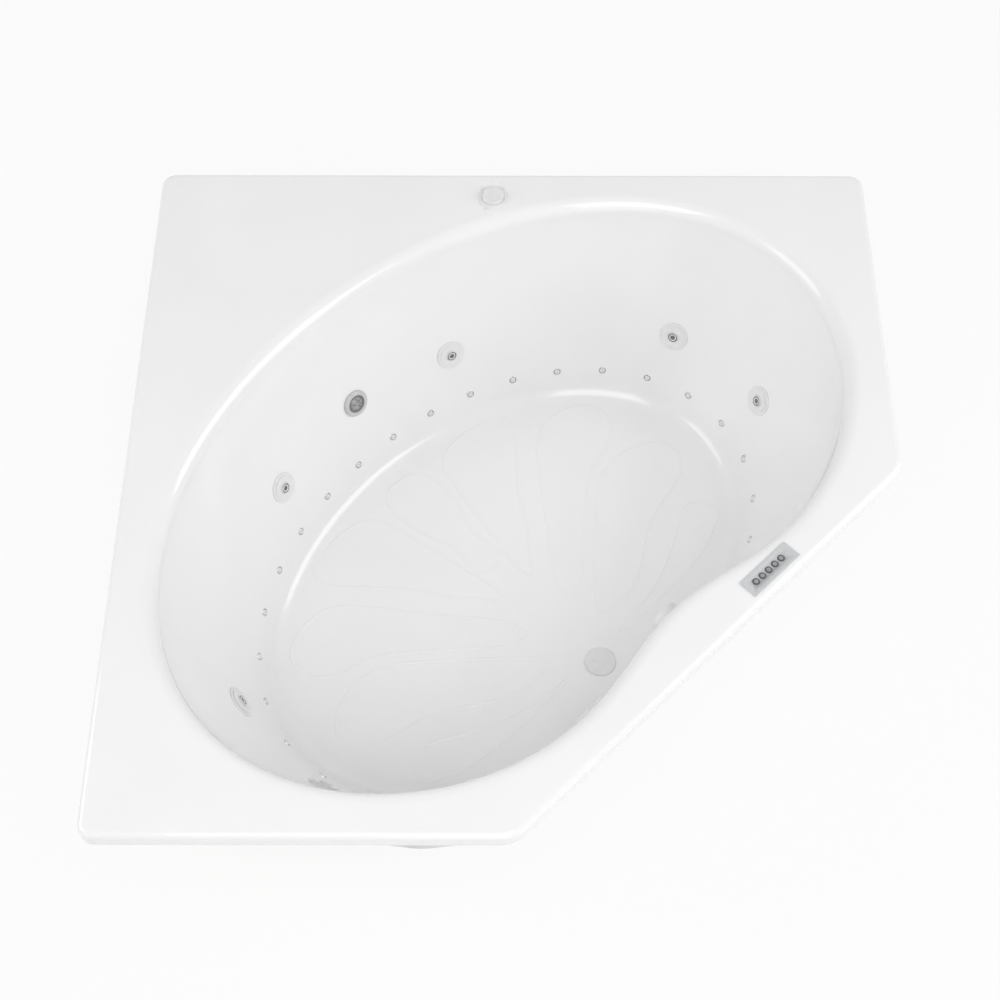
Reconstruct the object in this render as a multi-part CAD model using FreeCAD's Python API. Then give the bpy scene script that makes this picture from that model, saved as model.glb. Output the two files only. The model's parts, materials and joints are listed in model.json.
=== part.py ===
import FreeCAD, Part
import math
import os

# A corner bath with water jets and air injectors, in millimetres, +Z up, standing on the floor at z = 0.
# The deck is a square with one corner cut. The bath is the same on both sides of the plane through
# the back corner and the middle of the cut, so most places are given along that plane (v, towards the
# cut) and across it (u).

# Deck
SIDE = 1524.0
HEIGHT = 584.0
LIP_HEIGHT = 36.0
LIP_ROUND = 12.0
SQUARE_CORNER_RADIUS = 30.0
CUT_CORNER_RADIUS = 70.0
SHELL_WALL = 6.0

# Basin: an oval at the deck's edge, drawn in at the front by a notch, and a smaller oval at the floor
RIM_HALF_LENGTH = 810.0
RIM_HALF_WIDTH = 580.0
RIM_RADIUS = 32.0
RIM_NOTCH = 126.0
NOTCH_WIDTH = 300.0
FLOOR_HALF_LENGTH = 550.0
FLOOR_HALF_WIDTH = 375.0
FLOOR_NOTCH = 62.0
FLOOR_RADIUS = 50.0
FLOOR_DEPTH = 476.0
FLOOR_FALL = 14.0
FLOOR_WALL = 8.0
LOWER_WALL_LEAN = math.radians(27.0)
LENGTH_BOW_SHARE = 1.13
WIDTH_BOW_SHARE = 1.5
NOTCH_TAPER_SHARE = 1.5
OUTLINE_POINTS = 72
ROLL_STEPS = 5
WALL_SHARES = (0.0, 0.2, 0.4, 0.6, 0.8, 1.0)
FILLET_STEPS = 3

# Places round the wall are angles from the plane's right-hand side; the back is at -90, the front at 90
BACK_ANGLE = -90.0
FRONT_ANGLE = 90.0
ANGLE_STEP = 0.05

# Water jets
JET_ANGLES = (15.2, -15.2, -68.0, -112.0, -164.8, -195.2)
JET_DEPTH = 297.0
JET_TUBE_RADIUS = 23.0
JET_TUBE_BORE = 19.0
JET_TUBE_LENGTH = 30.0
JET_FLANGE_RADIUS = 33.0
JET_FLANGE_HEIGHT = 4.0
JET_FLANGE_EDGE = 1.0
JET_RECESS = 1.0
JET_FACE_RADIUS = 25.0
JET_FACE_TOP = 4.5
JET_BARREL_LENGTH = 14.0
JET_SCALLOPS = 3
JET_SCALLOP_RADIUS = 4.0
JET_SCALLOP_REACH = 19.0
JET_SCALLOP_RISE = 2.5
JET_BALL_RADIUS = 13.5
JET_BALL_DEPTH = 2.0
JET_BALL_BACK = 8.0
JET_MOUTH_RADIUS = 12.3
JET_COLLAR_RADIUS = 10.5
JET_COLLAR_HEIGHT = 4.5
JET_COLLAR_EDGE = 1.0
JET_NOZZLE_BORE = 5.5
JET_BODY_RADIUS = 29.0
JET_BODY_LENGTH = 64.0
JET_NUT_RADIUS = 34.0
JET_NUT_HEIGHT = 5.0

# Water manifold and venturi air pipe behind the wall
MANIFOLD_ANGLES = (16.0, 0.0, -16.0, -29.0, -42.0, -55.0, -68.0, -79.0, -90.0, -101.0, -112.0, -125.0,
                   -138.0, -151.0, -164.0, -180.0, -196.0)
WATER_RADIUS = 21.0
WATER_DROP = 66.0
AIR_RADIUS = 13.0
AIR_RISE = 58.0
BRANCH_RADIUS = 9.0
PIPE_WALL = 3.0
PIPE_TAIL = 16.0
PIPE_BEND = 160.0
RUN_SHARE = 0.45

# Air injectors and their manifold
INJECTORS_A_SIDE = 12
INJECTOR_DEPTH = 408.0
INJECTOR_PITCH = 105.8
INJECTOR_RING_RADIUS = 8.8
INJECTOR_RING_HEIGHT = 1.6
INJECTOR_CAP_RADIUS = 5.8
INJECTOR_CAP_HEIGHT = 2.0
INJECTOR_HOLE = 1.0
INJECTOR_SHANK_RADIUS = 6.2
INJECTOR_BODY_RADIUS = 8.0
INJECTOR_BODY_LENGTH = 20.0
INJECTOR_BORE = 3.5
HOSE_RADIUS = 6.0
RING_REACH = 75.0
RING_RADIUS = 16.0

# Underwater light
LIGHT_DEPTH = 277.0
LIGHT_RADIUS = 30.5
LIGHT_HEIGHT = 8.0
LIGHT_LENS_RADIUS = 18.0
LIGHT_LENS_HEIGHT = 5.5
LIGHT_BODY_LENGTH = 14.0
LIGHT_NUT_HEIGHT = 6.0

# Drain and its stopper
DRAIN_V = 266.0
DRAIN_RECESS = 1.0
DRAIN_BORE = 22.0
DRAIN_TUBE_RADIUS = 25.5
DRAIN_TUBE_LENGTH = 38.0
DRAIN_FLANGE_RADIUS = 37.0
DRAIN_FLANGE_HEIGHT = 2.5
STOPPER_RADIUS = 32.0
STOPPER_HEIGHT = 3.5
STEM_RADIUS = 3.0
GUIDE_DEPTH = 18.0
GUIDE_HEIGHT = 6.0
GUIDE_RADIUS = 6.0
GUIDE_ARM = 4.0
GUIDE_ARMS = 3
SHOE_RADIUS = 31.0
SHOE_DEPTH = 72.0
SHOE_REACH = 45.0

# Overflow and waste pipes
OVERFLOW_DEPTH = 80.0
OVERFLOW_FLANGE_RADIUS = 30.0
OVERFLOW_FLANGE_HEIGHT = 4.0
OVERFLOW_TUBE_RADIUS = 20.0
OVERFLOW_PLATE_RADIUS = 31.0
OVERFLOW_PLATE_HEIGHT = 28.0
OVERFLOW_SLOT = 30.0
PLATE_WALL = 3.0
SPINDLE_RADIUS = 5.0
SPINDLE_LENGTH = 12.0
WASTE_V = 376.0
ELBOW_V = 474.0
WASTE_HEIGHT = 59.0
WASTE_RADIUS = 19.05
WASTE_BORE = 16.5
ELBOW_RADIUS = 23.0
ELBOW_DROP = 50.0
ELBOW_BORE = 15.0
TEE_REACH = 36.0
TEE_DROP = 32.0
TEE_GRIP = 6.0
TEE_RADIUS = 27.0
TEE_CAVITY = 21.0
TAIL_LOW = 4.0

# Suction fitting and pipe
SUCTION_ANGLE = 102.0
SUCTION_DEPTH = 385.0
SUCTION_RADIUS = 21.0
SUCTION_BORE = 18.0
SUCTION_CUP_RADIUS = 25.0
SUCTION_PORT = 30.0
SUCTION_SPIGOT = 40.0
SUCTION_FLANGE_HEIGHT = 3.0
SUCTION_NUT_RADIUS = 34.0
SUCTION_NUT_HEIGHT = 12.0
COVER_RADIUS = 50.0
COVER_HEIGHT = 35.0
COVER_WALL = 3.0
COVER_SHARES = ((1.0, 0.0), (1.0, 0.3), (0.92, 0.66), (0.7, 0.9), (0.4, 1.0), (0.0, 1.0))
COVER_SLOTS = 12
COVER_SLOT = 5.0
COVER_SLOT_SHARE = 0.5
COVER_REACH_SHARE = 0.65
SUCTION_LOW_V = 362.0
SUCTION_LOW_HEIGHT = 45.0
SUCTION_BEND = 60.0

# Pump
PUMP_U = 45.0
PUMP_V = -720.0
PUMP_HEIGHT = 168.0
MOTOR_RADIUS = 55.0
MOTOR_BACK = -150.0
MOTOR_GROOVES = 13
GROOVE_START = -30.0
GROOVE_SWEEP = 240.0
GROOVE_DEPTH = 4.0
GROOVE_WIDTH = 6.0
GROOVE_END = 14.0
FAN_COVER_LENGTH = 25.0
VOLUTE_RADIUS = 66.0
VOLUTE_BACK = 22.0
VOLUTE_FRONT = 82.0
VOLUTE_WALL = 8.0
INLET_RADIUS = 25.0
INLET_END = 100.0
OUTLET_RADIUS = 24.0
OUTLET_END = 78.0
DISCHARGE_RADIUS = 20.0
DISCHARGE_BORE = 17.0
SHAFT_RADIUS = 8.0
HUB_RADIUS = 14.0
IMPELLER_RADIUS = 50.0
IMPELLER_BACK = 36.0
IMPELLER_FRONT = 66.0
IMPELLER_DISC = 6.0
VANES = 6
VANE_WIDTH = 4.0
NUT_LENGTH = 24.0
NUT_WALL = 5.0
CRADLE_WIDTH = 90.0
CRADLE_LENGTH = 90.0
CRADLE_HEIGHT = 35.0

# Blower and its pipe
BLOWER_U = 797.0
BLOWER_V = -135.0
BLOWER_RADIUS = 72.0
BLOWER_HEIGHT = 100.0
BLOWER_OFFSET = 30.0
BLOWER_REACH = 100.0
BLOWER_PIPE_RADIUS = 20.0
BLOWER_BORE = 17.0
BLOWER_SLOTS = 9
BLOWER_SLOT_START = 120.0
BLOWER_SLOT_SWEEP = 120.0
BLOWER_MOTOR_HEIGHT = 70.0
FAN_RADIUS = 60.0
FAN_LOW_SHARE = 0.25
FAN_HIGH_SHARE = 0.75
FAN_BLADE = 16.0
FAN_BLADES = 18
FAN_SHAFT = 40.0
LOOP_RUN = 55.0
LOOP_U = 755.0
LOOP_V = 264.0
LOOP_HEIGHT = 430.0
LOOP_BEND = 45.0
VALVE_LOW = 250.0
VALVE_LENGTH = 80.0
VALVE_RADIUS = 28.0
VALVE_EDGE = 8.0

# Keypad
KEYPAD_U = 178.5
KEYPAD_V = 501.8
KEYPAD_LENGTH = 129.0
KEYPAD_WIDTH = 41.0
KEYPAD_HEIGHT = 2.5
KEYPAD_CORNER = 1.5
KEYPAD_EDGE = 1.0
KEYPAD_BASE_LENGTH = 104.0
KEYPAD_BASE_WIDTH = 24.0
KEYPAD_BASE_DEPTH = 24.0
BUTTONS = 5
BUTTON_RADIUS = 6.75
BUTTON_MIDDLE = -3.2
BUTTON_PITCH = 17.9
BUTTON_PROUD = 1.5
BUTTON_FLANGE = 8.0
BUTTON_FLANGE_HEIGHT = 0.8
WELL_DEPTH = 2.5

# Air control on the deck
CONTROL_U = 458.4
CONTROL_V = -518.7
COLLAR_RADIUS = 32.0
COLLAR_HEIGHT = 5.0
COLLAR_SEAT = 2.0
KNOB_RADIUS = 24.0
KNOB_HEIGHT = 11.0
KNOB_EDGE = 2.0
KNOB_SCALLOPS = 6
KNOB_SCALLOP = 6.0
KNOB_STEM_LENGTH = 24.0
CONTROL_SHANK_RADIUS = 19.5
CONTROL_RADIUS = 23.0
CONTROL_LENGTH = 50.0

# Control box
BOX_V = -800.0
BOX_LENGTH = 200.0
BOX_WIDTH = 120.0
BOX_HEIGHT = 60.0
BOX_ROUND = 3.0
BOX_WALL = 3.5
ENTRY_RADIUS = 10.2
ENTRY_OFFSET = 30.0

# Base board, runners and battens
BOARD_TOP = HEIGHT - FLOOR_DEPTH - FLOOR_WALL
BOARD_THICKNESS = 18.0
BOARD_HOLE_GAP = 12.0
BOARD_CORNERS = ((420.0, 330.0), (650.0, 100.0), (875.0, -85.0), (865.0, -185.0), (660.0, -330.0),
                 (400.0, -420.0), (240.0, -790.0))
RUNNERS = ((220.0, 290.0, -780.0), (560.0, 150.0, -330.0), (790.0, -60.0, -220.0))
RUNNER_WIDTH = 60.0
BATTEN_WIDTH = 18.0
BATTEN_HEIGHT = 22.0
BATTEN_SHORT = 90.0

# Gaps: a fitting in its hole, a hand-turned piece in its seat, a running shaft in its bore
SEAT_GAP = 0.3
TURN_GAP = 0.3
RUNNING_GAP = 0.05
LEVEL_GAP = 0.6
OVERRUN = 5.0
DIAGONAL_SHARE = math.sqrt(0.5)
Vector = FreeCAD.Vector
UP = Vector(0, 0, 1)
ORIGIN = Vector(0, 0, 0)


def spot(u, v, z):
    """A point from its place across and along the plane of symmetry."""
    return Vector((u + v) * DIAGONAL_SHARE, (u - v) * DIAGONAL_SHARE, z)


def oval(half_length, half_width, notch, angle):
    """A point (u, v) of the basin's outline: an ellipse, drawn in at the front by the notch."""
    u = half_length * math.cos(angle)
    v = half_width * math.sin(angle)
    if v > 0:
        taper = (1 - math.cos(angle) ** 2) ** NOTCH_TAPER_SHARE
        v -= notch * taper / (1 + (u / NOTCH_WIDTH) ** 2)
    return u, v


def floor_rise(v):
    """How far the floor stands above its level at the drain, at the place v."""
    return FLOOR_FALL * (DRAIN_V - v) / (DRAIN_V + FLOOR_HALF_WIDTH)


def section(half_length, half_width, notch, depth, tilt):
    """One closed section of the basin; a tilt of 1 follows the floor's fall, a tilt of 0 is level."""
    points = []
    for step in range(OUTLINE_POINTS):
        u, v = oval(half_length, half_width, notch, 2 * math.pi * step / OUTLINE_POINTS)
        points.append(spot(u, v, HEIGHT - depth + tilt * floor_rise(v)))
    curve = Part.BSplineCurve()
    curve.interpolate(Points=points, PeriodicFlag=True)
    return Part.Wire(curve.toShape())


WALL_TOP = RIM_RADIUS
WALL_BOTTOM = FLOOR_DEPTH - FLOOR_RADIUS * (1 - math.sin(LOWER_WALL_LEAN))
FOOT_REACH = FLOOR_RADIUS * math.cos(LOWER_WALL_LEAN)


def wall_level(share, outset=0):
    """Half length, half width, notch and depth of the wall, from its top (0) to its foot (1)."""
    top_length = RIM_HALF_LENGTH - RIM_RADIUS
    top_width = RIM_HALF_WIDTH - RIM_RADIUS
    foot_length = FLOOR_HALF_LENGTH + FOOT_REACH
    foot_width = FLOOR_HALF_WIDTH + FOOT_REACH
    lean = LOWER_WALL_LEAN * share
    half_length = top_length + (foot_length - top_length) * share ** LENGTH_BOW_SHARE
    half_width = top_width + (foot_width - top_width) * share ** WIDTH_BOW_SHARE
    notch = RIM_NOTCH + (FLOOR_NOTCH - RIM_NOTCH) * share
    depth = WALL_TOP + (WALL_BOTTOM - WALL_TOP) * share
    out = outset * math.cos(lean)
    return half_length + out, half_width + out, notch, depth + outset * math.sin(lean)


def basin_sections(outset, floor_extra, floor_tilt):
    """Sections from the deck's edge over the roll, down the wall and round the fillet to the floor."""
    sections = []
    for step in range(ROLL_STEPS):
        turn = math.pi / 2 * step / ROLL_STEPS
        reach = (RIM_RADIUS - outset) * math.sin(turn)
        depth = RIM_RADIUS - (RIM_RADIUS - outset) * math.cos(turn)
        sections.append(section(RIM_HALF_LENGTH - reach, RIM_HALF_WIDTH - reach, RIM_NOTCH, depth, 0))
    for share in WALL_SHARES:
        half_length, half_width, notch, depth = wall_level(share, outset)
        sections.append(section(half_length, half_width, notch, depth, share))
    radius = FLOOR_RADIUS + outset
    start = math.pi / 2 - LOWER_WALL_LEAN
    for step in range(1, FILLET_STEPS + 1):
        turn = start * (1 - step / FILLET_STEPS)
        reach = radius * math.sin(turn)
        depth = FLOOR_DEPTH - FLOOR_RADIUS + radius * math.cos(turn)
        depth += (floor_extra - outset) * step / FILLET_STEPS
        half_length = FLOOR_HALF_LENGTH + reach
        half_width = FLOOR_HALF_WIDTH + reach
        tilt = 1 + (floor_tilt - 1) * step / FILLET_STEPS
        sections.append(section(half_length, half_width, FLOOR_NOTCH, depth, tilt))
    return sections


def level_edges(shape, height):
    """The edges of a shape that lie at one height."""
    edges = []
    for edge in shape.Edges:
        box = edge.BoundBox
        if abs(box.ZMin - height) < LEVEL_GAP and abs(box.ZMax - height) < LEVEL_GAP:
            edges.append(edge)
    return edges


def rounded_loop(corners, radii, z):
    """A closed wire through corners (x, y), each rounded by its own radius."""
    edges = []
    ends = []
    count = len(corners)
    for index in range(count):
        here = Vector(corners[index][0], corners[index][1], z)
        before = Vector(corners[index - 1][0], corners[index - 1][1], z) - here
        after = Vector(corners[(index + 1) % count][0], corners[(index + 1) % count][1], z) - here
        half = before.getAngle(after) / 2
        before.normalize()
        after.normalize()
        run = radii[index] / math.tan(half)
        middle = before + after
        middle.normalize()
        near = here + middle * (radii[index] / math.sin(half) - radii[index])
        first = here + before * run
        last = here + after * run
        ends.append((first, near, last))
    for index in range(count):
        first, near, last = ends[index]
        edges.append(Part.Arc(first, near, last).toShape())
        edges.append(Part.LineSegment(last, ends[(index + 1) % count][0]).toShape())
    return Part.Wire(edges)


HALF = SIDE / 2
DECK_CORNERS = ((-HALF, -HALF), (0, -HALF), (HALF, 0), (HALF, HALF), (-HALF, HALF))
DECK_RADII = (SQUARE_CORNER_RADIUS, CUT_CORNER_RADIUS, CUT_CORNER_RADIUS, SQUARE_CORNER_RADIUS,
              SQUARE_CORNER_RADIUS)


def deck_tray():
    """The deck as a tray: flat top, rounded edge and down-turned lip."""
    loop = rounded_loop(DECK_CORNERS, DECK_RADII, HEIGHT - LIP_HEIGHT)
    outside = Part.Face(loop)
    slab = outside.extrude(UP * LIP_HEIGHT)
    slab = slab.makeFillet(LIP_ROUND, level_edges(slab, HEIGHT))
    inside = outside.makeOffset2D(-SHELL_WALL)
    return slab.cut(inside.extrude(UP * (LIP_HEIGHT - SHELL_WALL)))


def flat_face_at(shape, height):
    """The largest level face of a shape at one height."""
    found = None
    for face in shape.Faces:
        box = face.BoundBox
        level = abs(box.ZMin - height) < LEVEL_GAP and abs(box.ZMax - height) < LEVEL_GAP
        if level and (found is None or face.Area > found.Area):
            found = face
    return found


def holed(face, loop):
    """A flat face with one more hole."""
    return Part.makeFace([face.OuterWire, loop], "Part::FaceMakerBullseye")


INNER = Part.makeLoft(basin_sections(0, 0, 1), False, False)
OUTER = Part.makeLoft(basin_sections(SHELL_WALL, FLOOR_WALL, 0), False, False)


def bare_shell():
    """Deck and basin as one closed solid, before any hole."""
    tray = deck_tray()
    top = flat_face_at(tray, HEIGHT)
    under = flat_face_at(tray, HEIGHT - SHELL_WALL)
    faces = [face for face in tray.Faces if not face.isSame(top) and not face.isSame(under)]
    faces.append(holed(top, Part.Wire(level_edges(INNER, HEIGHT))))
    faces.append(holed(under, Part.Wire(level_edges(OUTER, HEIGHT - SHELL_WALL))))
    faces += INNER.Faces + OUTER.Faces
    floor_loop = [edge for edge in INNER.Edges if edge.BoundBox.ZMax < HEIGHT - WALL_BOTTOM]
    faces.append(Part.Face(Part.Wire(floor_loop)))
    faces.append(Part.Face(Part.Wire(level_edges(OUTER, HEIGHT - FLOOR_DEPTH - FLOOR_WALL))))
    shell = Part.makeShell(faces)
    shell.sewShape()
    solid = Part.makeSolid(Part.makeShell(shell.Faces))
    if solid.Volume < 0:
        solid.reverse()
    return solid


def wall_seat(angle, depth):
    """The placement of a fitting on the wall: local +Z points into the basin, local +Y up the wall."""
    share = (depth - WALL_TOP) / (WALL_BOTTOM - WALL_TOP)
    half_length, half_width, notch, _ = wall_level(share)
    u, v = oval(half_length, half_width, notch, math.radians(angle))
    near = INNER.distToShape(Part.Vertex(spot(u, v, HEIGHT - depth)))[1][0][0]
    face = INNER.Faces[0]
    normal = face.normalAt(*face.Surface.parameter(near))
    if normal.dot(near - Vector(0, 0, near.z)) > 0:
        normal = -normal
    return frame_at(near, normal, UP.cross(normal))


def frame_at(point, along, across):
    """A placement with local +Z along one direction and local +X across it."""
    return FreeCAD.Placement(point, FreeCAD.Rotation(across, along.cross(across), along, "ZXY"))


def put(shape, place):
    """A copy of a shape, moved to its place."""
    copy = shape.copy()
    copy.Placement = place.multiply(copy.Placement)
    return copy


def rod(radius, low, high):
    """A round bar about local Z, between two heights."""
    return Part.makeCylinder(radius, high - low, Vector(0, 0, low), UP)


def tube(radius, bore, low, high):
    """A round tube about local Z, between two heights."""
    return rod(radius, low, high).cut(rod(bore, low - OVERRUN, high + OVERRUN))


def turned(profile):
    """A solid turned about local Z from points (radius, height)."""
    points = [Vector(radius, 0, height) for radius, height in profile]
    return Part.Face(Part.makePolygon(points + points[:1])).revolve(ORIGIN, UP, 360)


def block(length, width, low, high, middle_x=0, middle_y=0):
    """A box about a middle point, between two heights."""
    corner = Vector(middle_x - length / 2, middle_y - width / 2, low)
    return Part.makeBox(length, width, high - low, corner)


def around(shape, count, start=0):
    """Copies of a shape turned evenly about local Z."""
    copies = []
    for step in range(count):
        copy = shape.copy()
        copy.rotate(ORIGIN, UP, start + 360 * step / count)
        copies.append(copy)
    return copies


def route(points, bend):
    """Straight runs through points, joined by tangent arcs of one radius, or less where runs are short."""
    edges = []
    last = points[0]
    for before, here, after in zip(points, points[1:], points[2:]):
        back = before - here
        ahead = after - here
        turn = math.pi - back.getAngle(ahead)
        most = min(back.Length, ahead.Length) * RUN_SHARE
        back.normalize()
        ahead.normalize()
        run = min(bend * math.tan(turn / 2), most)
        radius = run / math.tan(turn / 2)
        middle = back + ahead
        middle.normalize()
        near = here + middle * (radius / math.cos(turn / 2) - radius)
        edges.append(Part.LineSegment(last, here + back * run).toShape())
        edges.append(Part.Arc(here + back * run, near, here + ahead * run).toShape())
        last = here + ahead * run
    edges.append(Part.LineSegment(last, points[-1]).toShape())
    return Part.Wire(edges)


def swept(points, bend, radius):
    """A round bar along a route."""
    path = route(points, bend)
    circle = Part.Wire(Part.makeCircle(radius, points[0], points[1] - points[0]))
    return path.makePipeShell([circle], True, False)


def piped(points, bend, radius, bore):
    """A pipe along a route."""
    return swept(points, bend, radius).cut(swept(points, bend, bore))


def lengths(points, bend, radius, bore):
    """A pipe along a route, as separate lengths that meet in the middle of its runs."""
    joints = []
    for here, after in zip(points[1:], points[2:-1]):
        ring = Part.makeCircle(radius + OVERRUN, (here + after) / 2, after - here)
        joints.append(Part.Face(Part.Wire(ring)))
    return piped(points, bend, radius, bore).generalFuse(joints)[0].Solids


def straight(start, end, radius):
    """A round bar between two points."""
    return Part.makeCylinder(radius, (end - start).Length, start, end - start)


def write(node, *solids):
    """One file for one node, with one or more solids."""
    shape = solids[0] if len(solids) == 1 else Part.makeCompound(solids)
    shape.exportStep("parts/" + node + ".step")


ALONG_U = spot(1, 0, 0)
ALONG_V = spot(0, 1, 0)
os.makedirs("parts", exist_ok=True)
shell_cuts = []


# Water jets: wall fitting, turning face, tilting nozzle and the body behind the wall
JET_SEATS = [wall_seat(angle, JET_DEPTH) for angle in JET_ANGLES]
JET_BACK = -(SHELL_WALL + SEAT_GAP)
JET_TUBE_END = JET_BACK - JET_TUBE_LENGTH
JET_BODY_END = JET_BACK - JET_BODY_LENGTH
JET_PORT = (JET_TUBE_END + JET_BODY_END) / 2


def jet_wall_fitting():
    lip = JET_FLANGE_HEIGHT - JET_FLANGE_EDGE
    return turned((
        (JET_TUBE_BORE, JET_TUBE_END), (JET_TUBE_RADIUS, JET_TUBE_END), (JET_TUBE_RADIUS, 0),
        (JET_FLANGE_RADIUS, 0), (JET_FLANGE_RADIUS, lip),
        (JET_FLANGE_RADIUS - JET_FLANGE_EDGE, JET_FLANGE_HEIGHT),
        (JET_FACE_RADIUS + TURN_GAP, JET_FLANGE_HEIGHT), (JET_FACE_RADIUS + TURN_GAP, JET_RECESS),
        (JET_TUBE_BORE, JET_RECESS)))


def jet_face():
    low = JET_RECESS + TURN_GAP
    barrel = JET_TUBE_BORE - TURN_GAP
    crown = JET_FACE_TOP - JET_FLANGE_EDGE
    face = turned((
        (0, -JET_BARREL_LENGTH), (barrel, -JET_BARREL_LENGTH), (barrel, low), (JET_FACE_RADIUS, low),
        (JET_FACE_RADIUS, crown), (JET_FACE_RADIUS - JET_FLANGE_EDGE, JET_FACE_TOP), (0, JET_FACE_TOP)))
    centre = Vector(0, 0, -JET_BALL_DEPTH)
    face = face.cut(Part.makeSphere(JET_BALL_RADIUS + TURN_GAP, centre))
    face = face.cut(rod(JET_MOUTH_RADIUS, -JET_BALL_DEPTH, JET_FACE_TOP + OVERRUN))
    face = face.cut(rod(JET_MOUTH_RADIUS, -JET_BARREL_LENGTH - OVERRUN, -JET_BALL_DEPTH))
    finger = Vector(JET_SCALLOP_REACH, 0, JET_FACE_TOP + JET_SCALLOP_RISE)
    scallop = Part.makeSphere(JET_SCALLOP_RADIUS, finger)
    return face.cut(around(scallop, JET_SCALLOPS))


def jet_nozzle():
    centre = Vector(0, 0, -JET_BALL_DEPTH)
    front = JET_FACE_TOP
    ball = Part.makeSphere(JET_BALL_RADIUS, centre)
    ball = ball.common(rod(JET_BALL_RADIUS, -JET_BALL_DEPTH - JET_BALL_BACK, front))
    tip = front + JET_COLLAR_HEIGHT
    collar = turned((
        (0, front), (JET_COLLAR_RADIUS, front), (JET_COLLAR_RADIUS, tip - JET_COLLAR_EDGE),
        (JET_COLLAR_RADIUS - JET_COLLAR_EDGE, tip), (0, tip)))
    return ball.fuse(collar).cut(rod(JET_NOZZLE_BORE, -JET_BALL_RADIUS * 2, tip + OVERRUN))


def jet_body():
    nut = JET_BACK - JET_NUT_HEIGHT
    floor = JET_BODY_END + PIPE_WALL
    return turned((
        (JET_TUBE_RADIUS, JET_BACK), (JET_NUT_RADIUS, JET_BACK), (JET_NUT_RADIUS, nut),
        (JET_BODY_RADIUS, nut), (JET_BODY_RADIUS, JET_BODY_END), (0, JET_BODY_END), (0, floor),
        (JET_TUBE_BORE, floor),
        (JET_TUBE_BORE, JET_TUBE_END), (JET_TUBE_RADIUS, JET_TUBE_END)))


JET_BODIES = [put(jet_body(), seat) for seat in JET_SEATS]
write("jet_wall_fittings", *[put(jet_wall_fitting(), seat) for seat in JET_SEATS])
write("jet_bodies", *JET_BODIES)
for number, seat in enumerate(JET_SEATS, 1):
    write("jet_face_%d" % number, put(jet_face(), seat))
    write("jet_nozzle_%d" % number, put(jet_nozzle(), seat))
    shell_cuts.append(put(rod(JET_TUBE_RADIUS + SEAT_GAP, JET_BACK - OVERRUN, OVERRUN), seat))
    shell_cuts.append(put(rod(JET_FLANGE_RADIUS + SEAT_GAP, 0, JET_FLANGE_RADIUS), seat))


# Water manifold and venturi air pipe: both run round the back, below and above the jet bodies
def port_points(height):
    """Places behind the wall from the first jet round the back to the last, at one height."""
    points = []
    for angle in MANIFOLD_ANGLES:
        behind = wall_seat(angle, JET_DEPTH).multVec(Vector(0, 0, JET_PORT))
        points.append(Vector(behind.x, behind.y, height))
    return points


def capped_line(points, radius):
    """A line through points and a little past both ends: as a solid bar, as pipe lengths, and its end caps."""
    first = points[0] - points[1]
    last = points[-1] - points[-2]
    first.normalize()
    last.normalize()
    ends = [points[0] + first * PIPE_TAIL, points[-1] + last * PIPE_TAIL]
    way = [ends[0]] + points[1:-1] + [ends[1]]
    bar = swept(way, PIPE_BEND, radius)
    line = lengths(way, PIPE_BEND, radius, radius - PIPE_WALL)
    caps = [straight(ends[0], ends[0] + first * PIPE_WALL, radius),
            straight(ends[1], ends[1] + last * PIPE_WALL, radius)]
    return bar, line, caps


def upright(height, seat, body, bar, radius):
    """The short upright pipe between a jet's body and the line below or above it."""
    port = seat.multVec(Vector(0, 0, JET_PORT))
    foot = Vector(port.x, port.y, height)
    whole = straight(foot, port, radius).cut(straight(foot, port, radius - PIPE_WALL))
    pieces = whole.cut([body, bar]).Solids
    middle = (foot + port) / 2
    return min(pieces, key=lambda piece: (piece.CenterOfMass - middle).Length)


PORT_HEIGHT = JET_SEATS[0].multVec(Vector(0, 0, JET_PORT)).z
WATER_HEIGHT = PORT_HEIGHT - WATER_DROP
AIR_HEIGHT = PORT_HEIGHT + AIR_RISE
AIR_POINTS = port_points(AIR_HEIGHT)
WATER_POINTS = port_points(WATER_HEIGHT)
BACK_OF_MANIFOLD = WATER_POINTS[len(WATER_POINTS) // 2]
WATER_SOLID, WATER_LINE, WATER_CAPS = capped_line(WATER_POINTS, WATER_RADIUS)
AIR_SOLID, AIR_LINE, AIR_CAPS = capped_line(AIR_POINTS, AIR_RADIUS)
JET_CORES = [put(rod(JET_BODY_RADIUS, JET_BODY_END, JET_BACK), seat) for seat in JET_SEATS]
WATER_BRANCHES = [upright(WATER_HEIGHT, seat, core, WATER_SOLID, AIR_RADIUS)
                  for seat, core in zip(JET_SEATS, JET_CORES)]
AIR_BRANCHES = [upright(AIR_HEIGHT, seat, core, AIR_SOLID, BRANCH_RADIUS)
                for seat, core in zip(JET_SEATS, JET_CORES)]
CONTROL_FOOT = spot(CONTROL_U, CONTROL_V, HEIGHT - CONTROL_LENGTH)
AIR_JOIN = (AIR_POINTS[4] + AIR_POINTS[5]) / 2
AIR_DROP = piped([CONTROL_FOOT, spot(CONTROL_U, CONTROL_V, AIR_HEIGHT), AIR_JOIN], LOOP_BEND, AIR_RADIUS,
                 AIR_RADIUS - PIPE_WALL).cut(AIR_SOLID)
AIR_DROP = max(AIR_DROP.Solids, key=lambda piece: piece.Volume)
write("venturi_pipe", *AIR_LINE, *AIR_CAPS, *AIR_BRANCHES, AIR_DROP)


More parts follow.
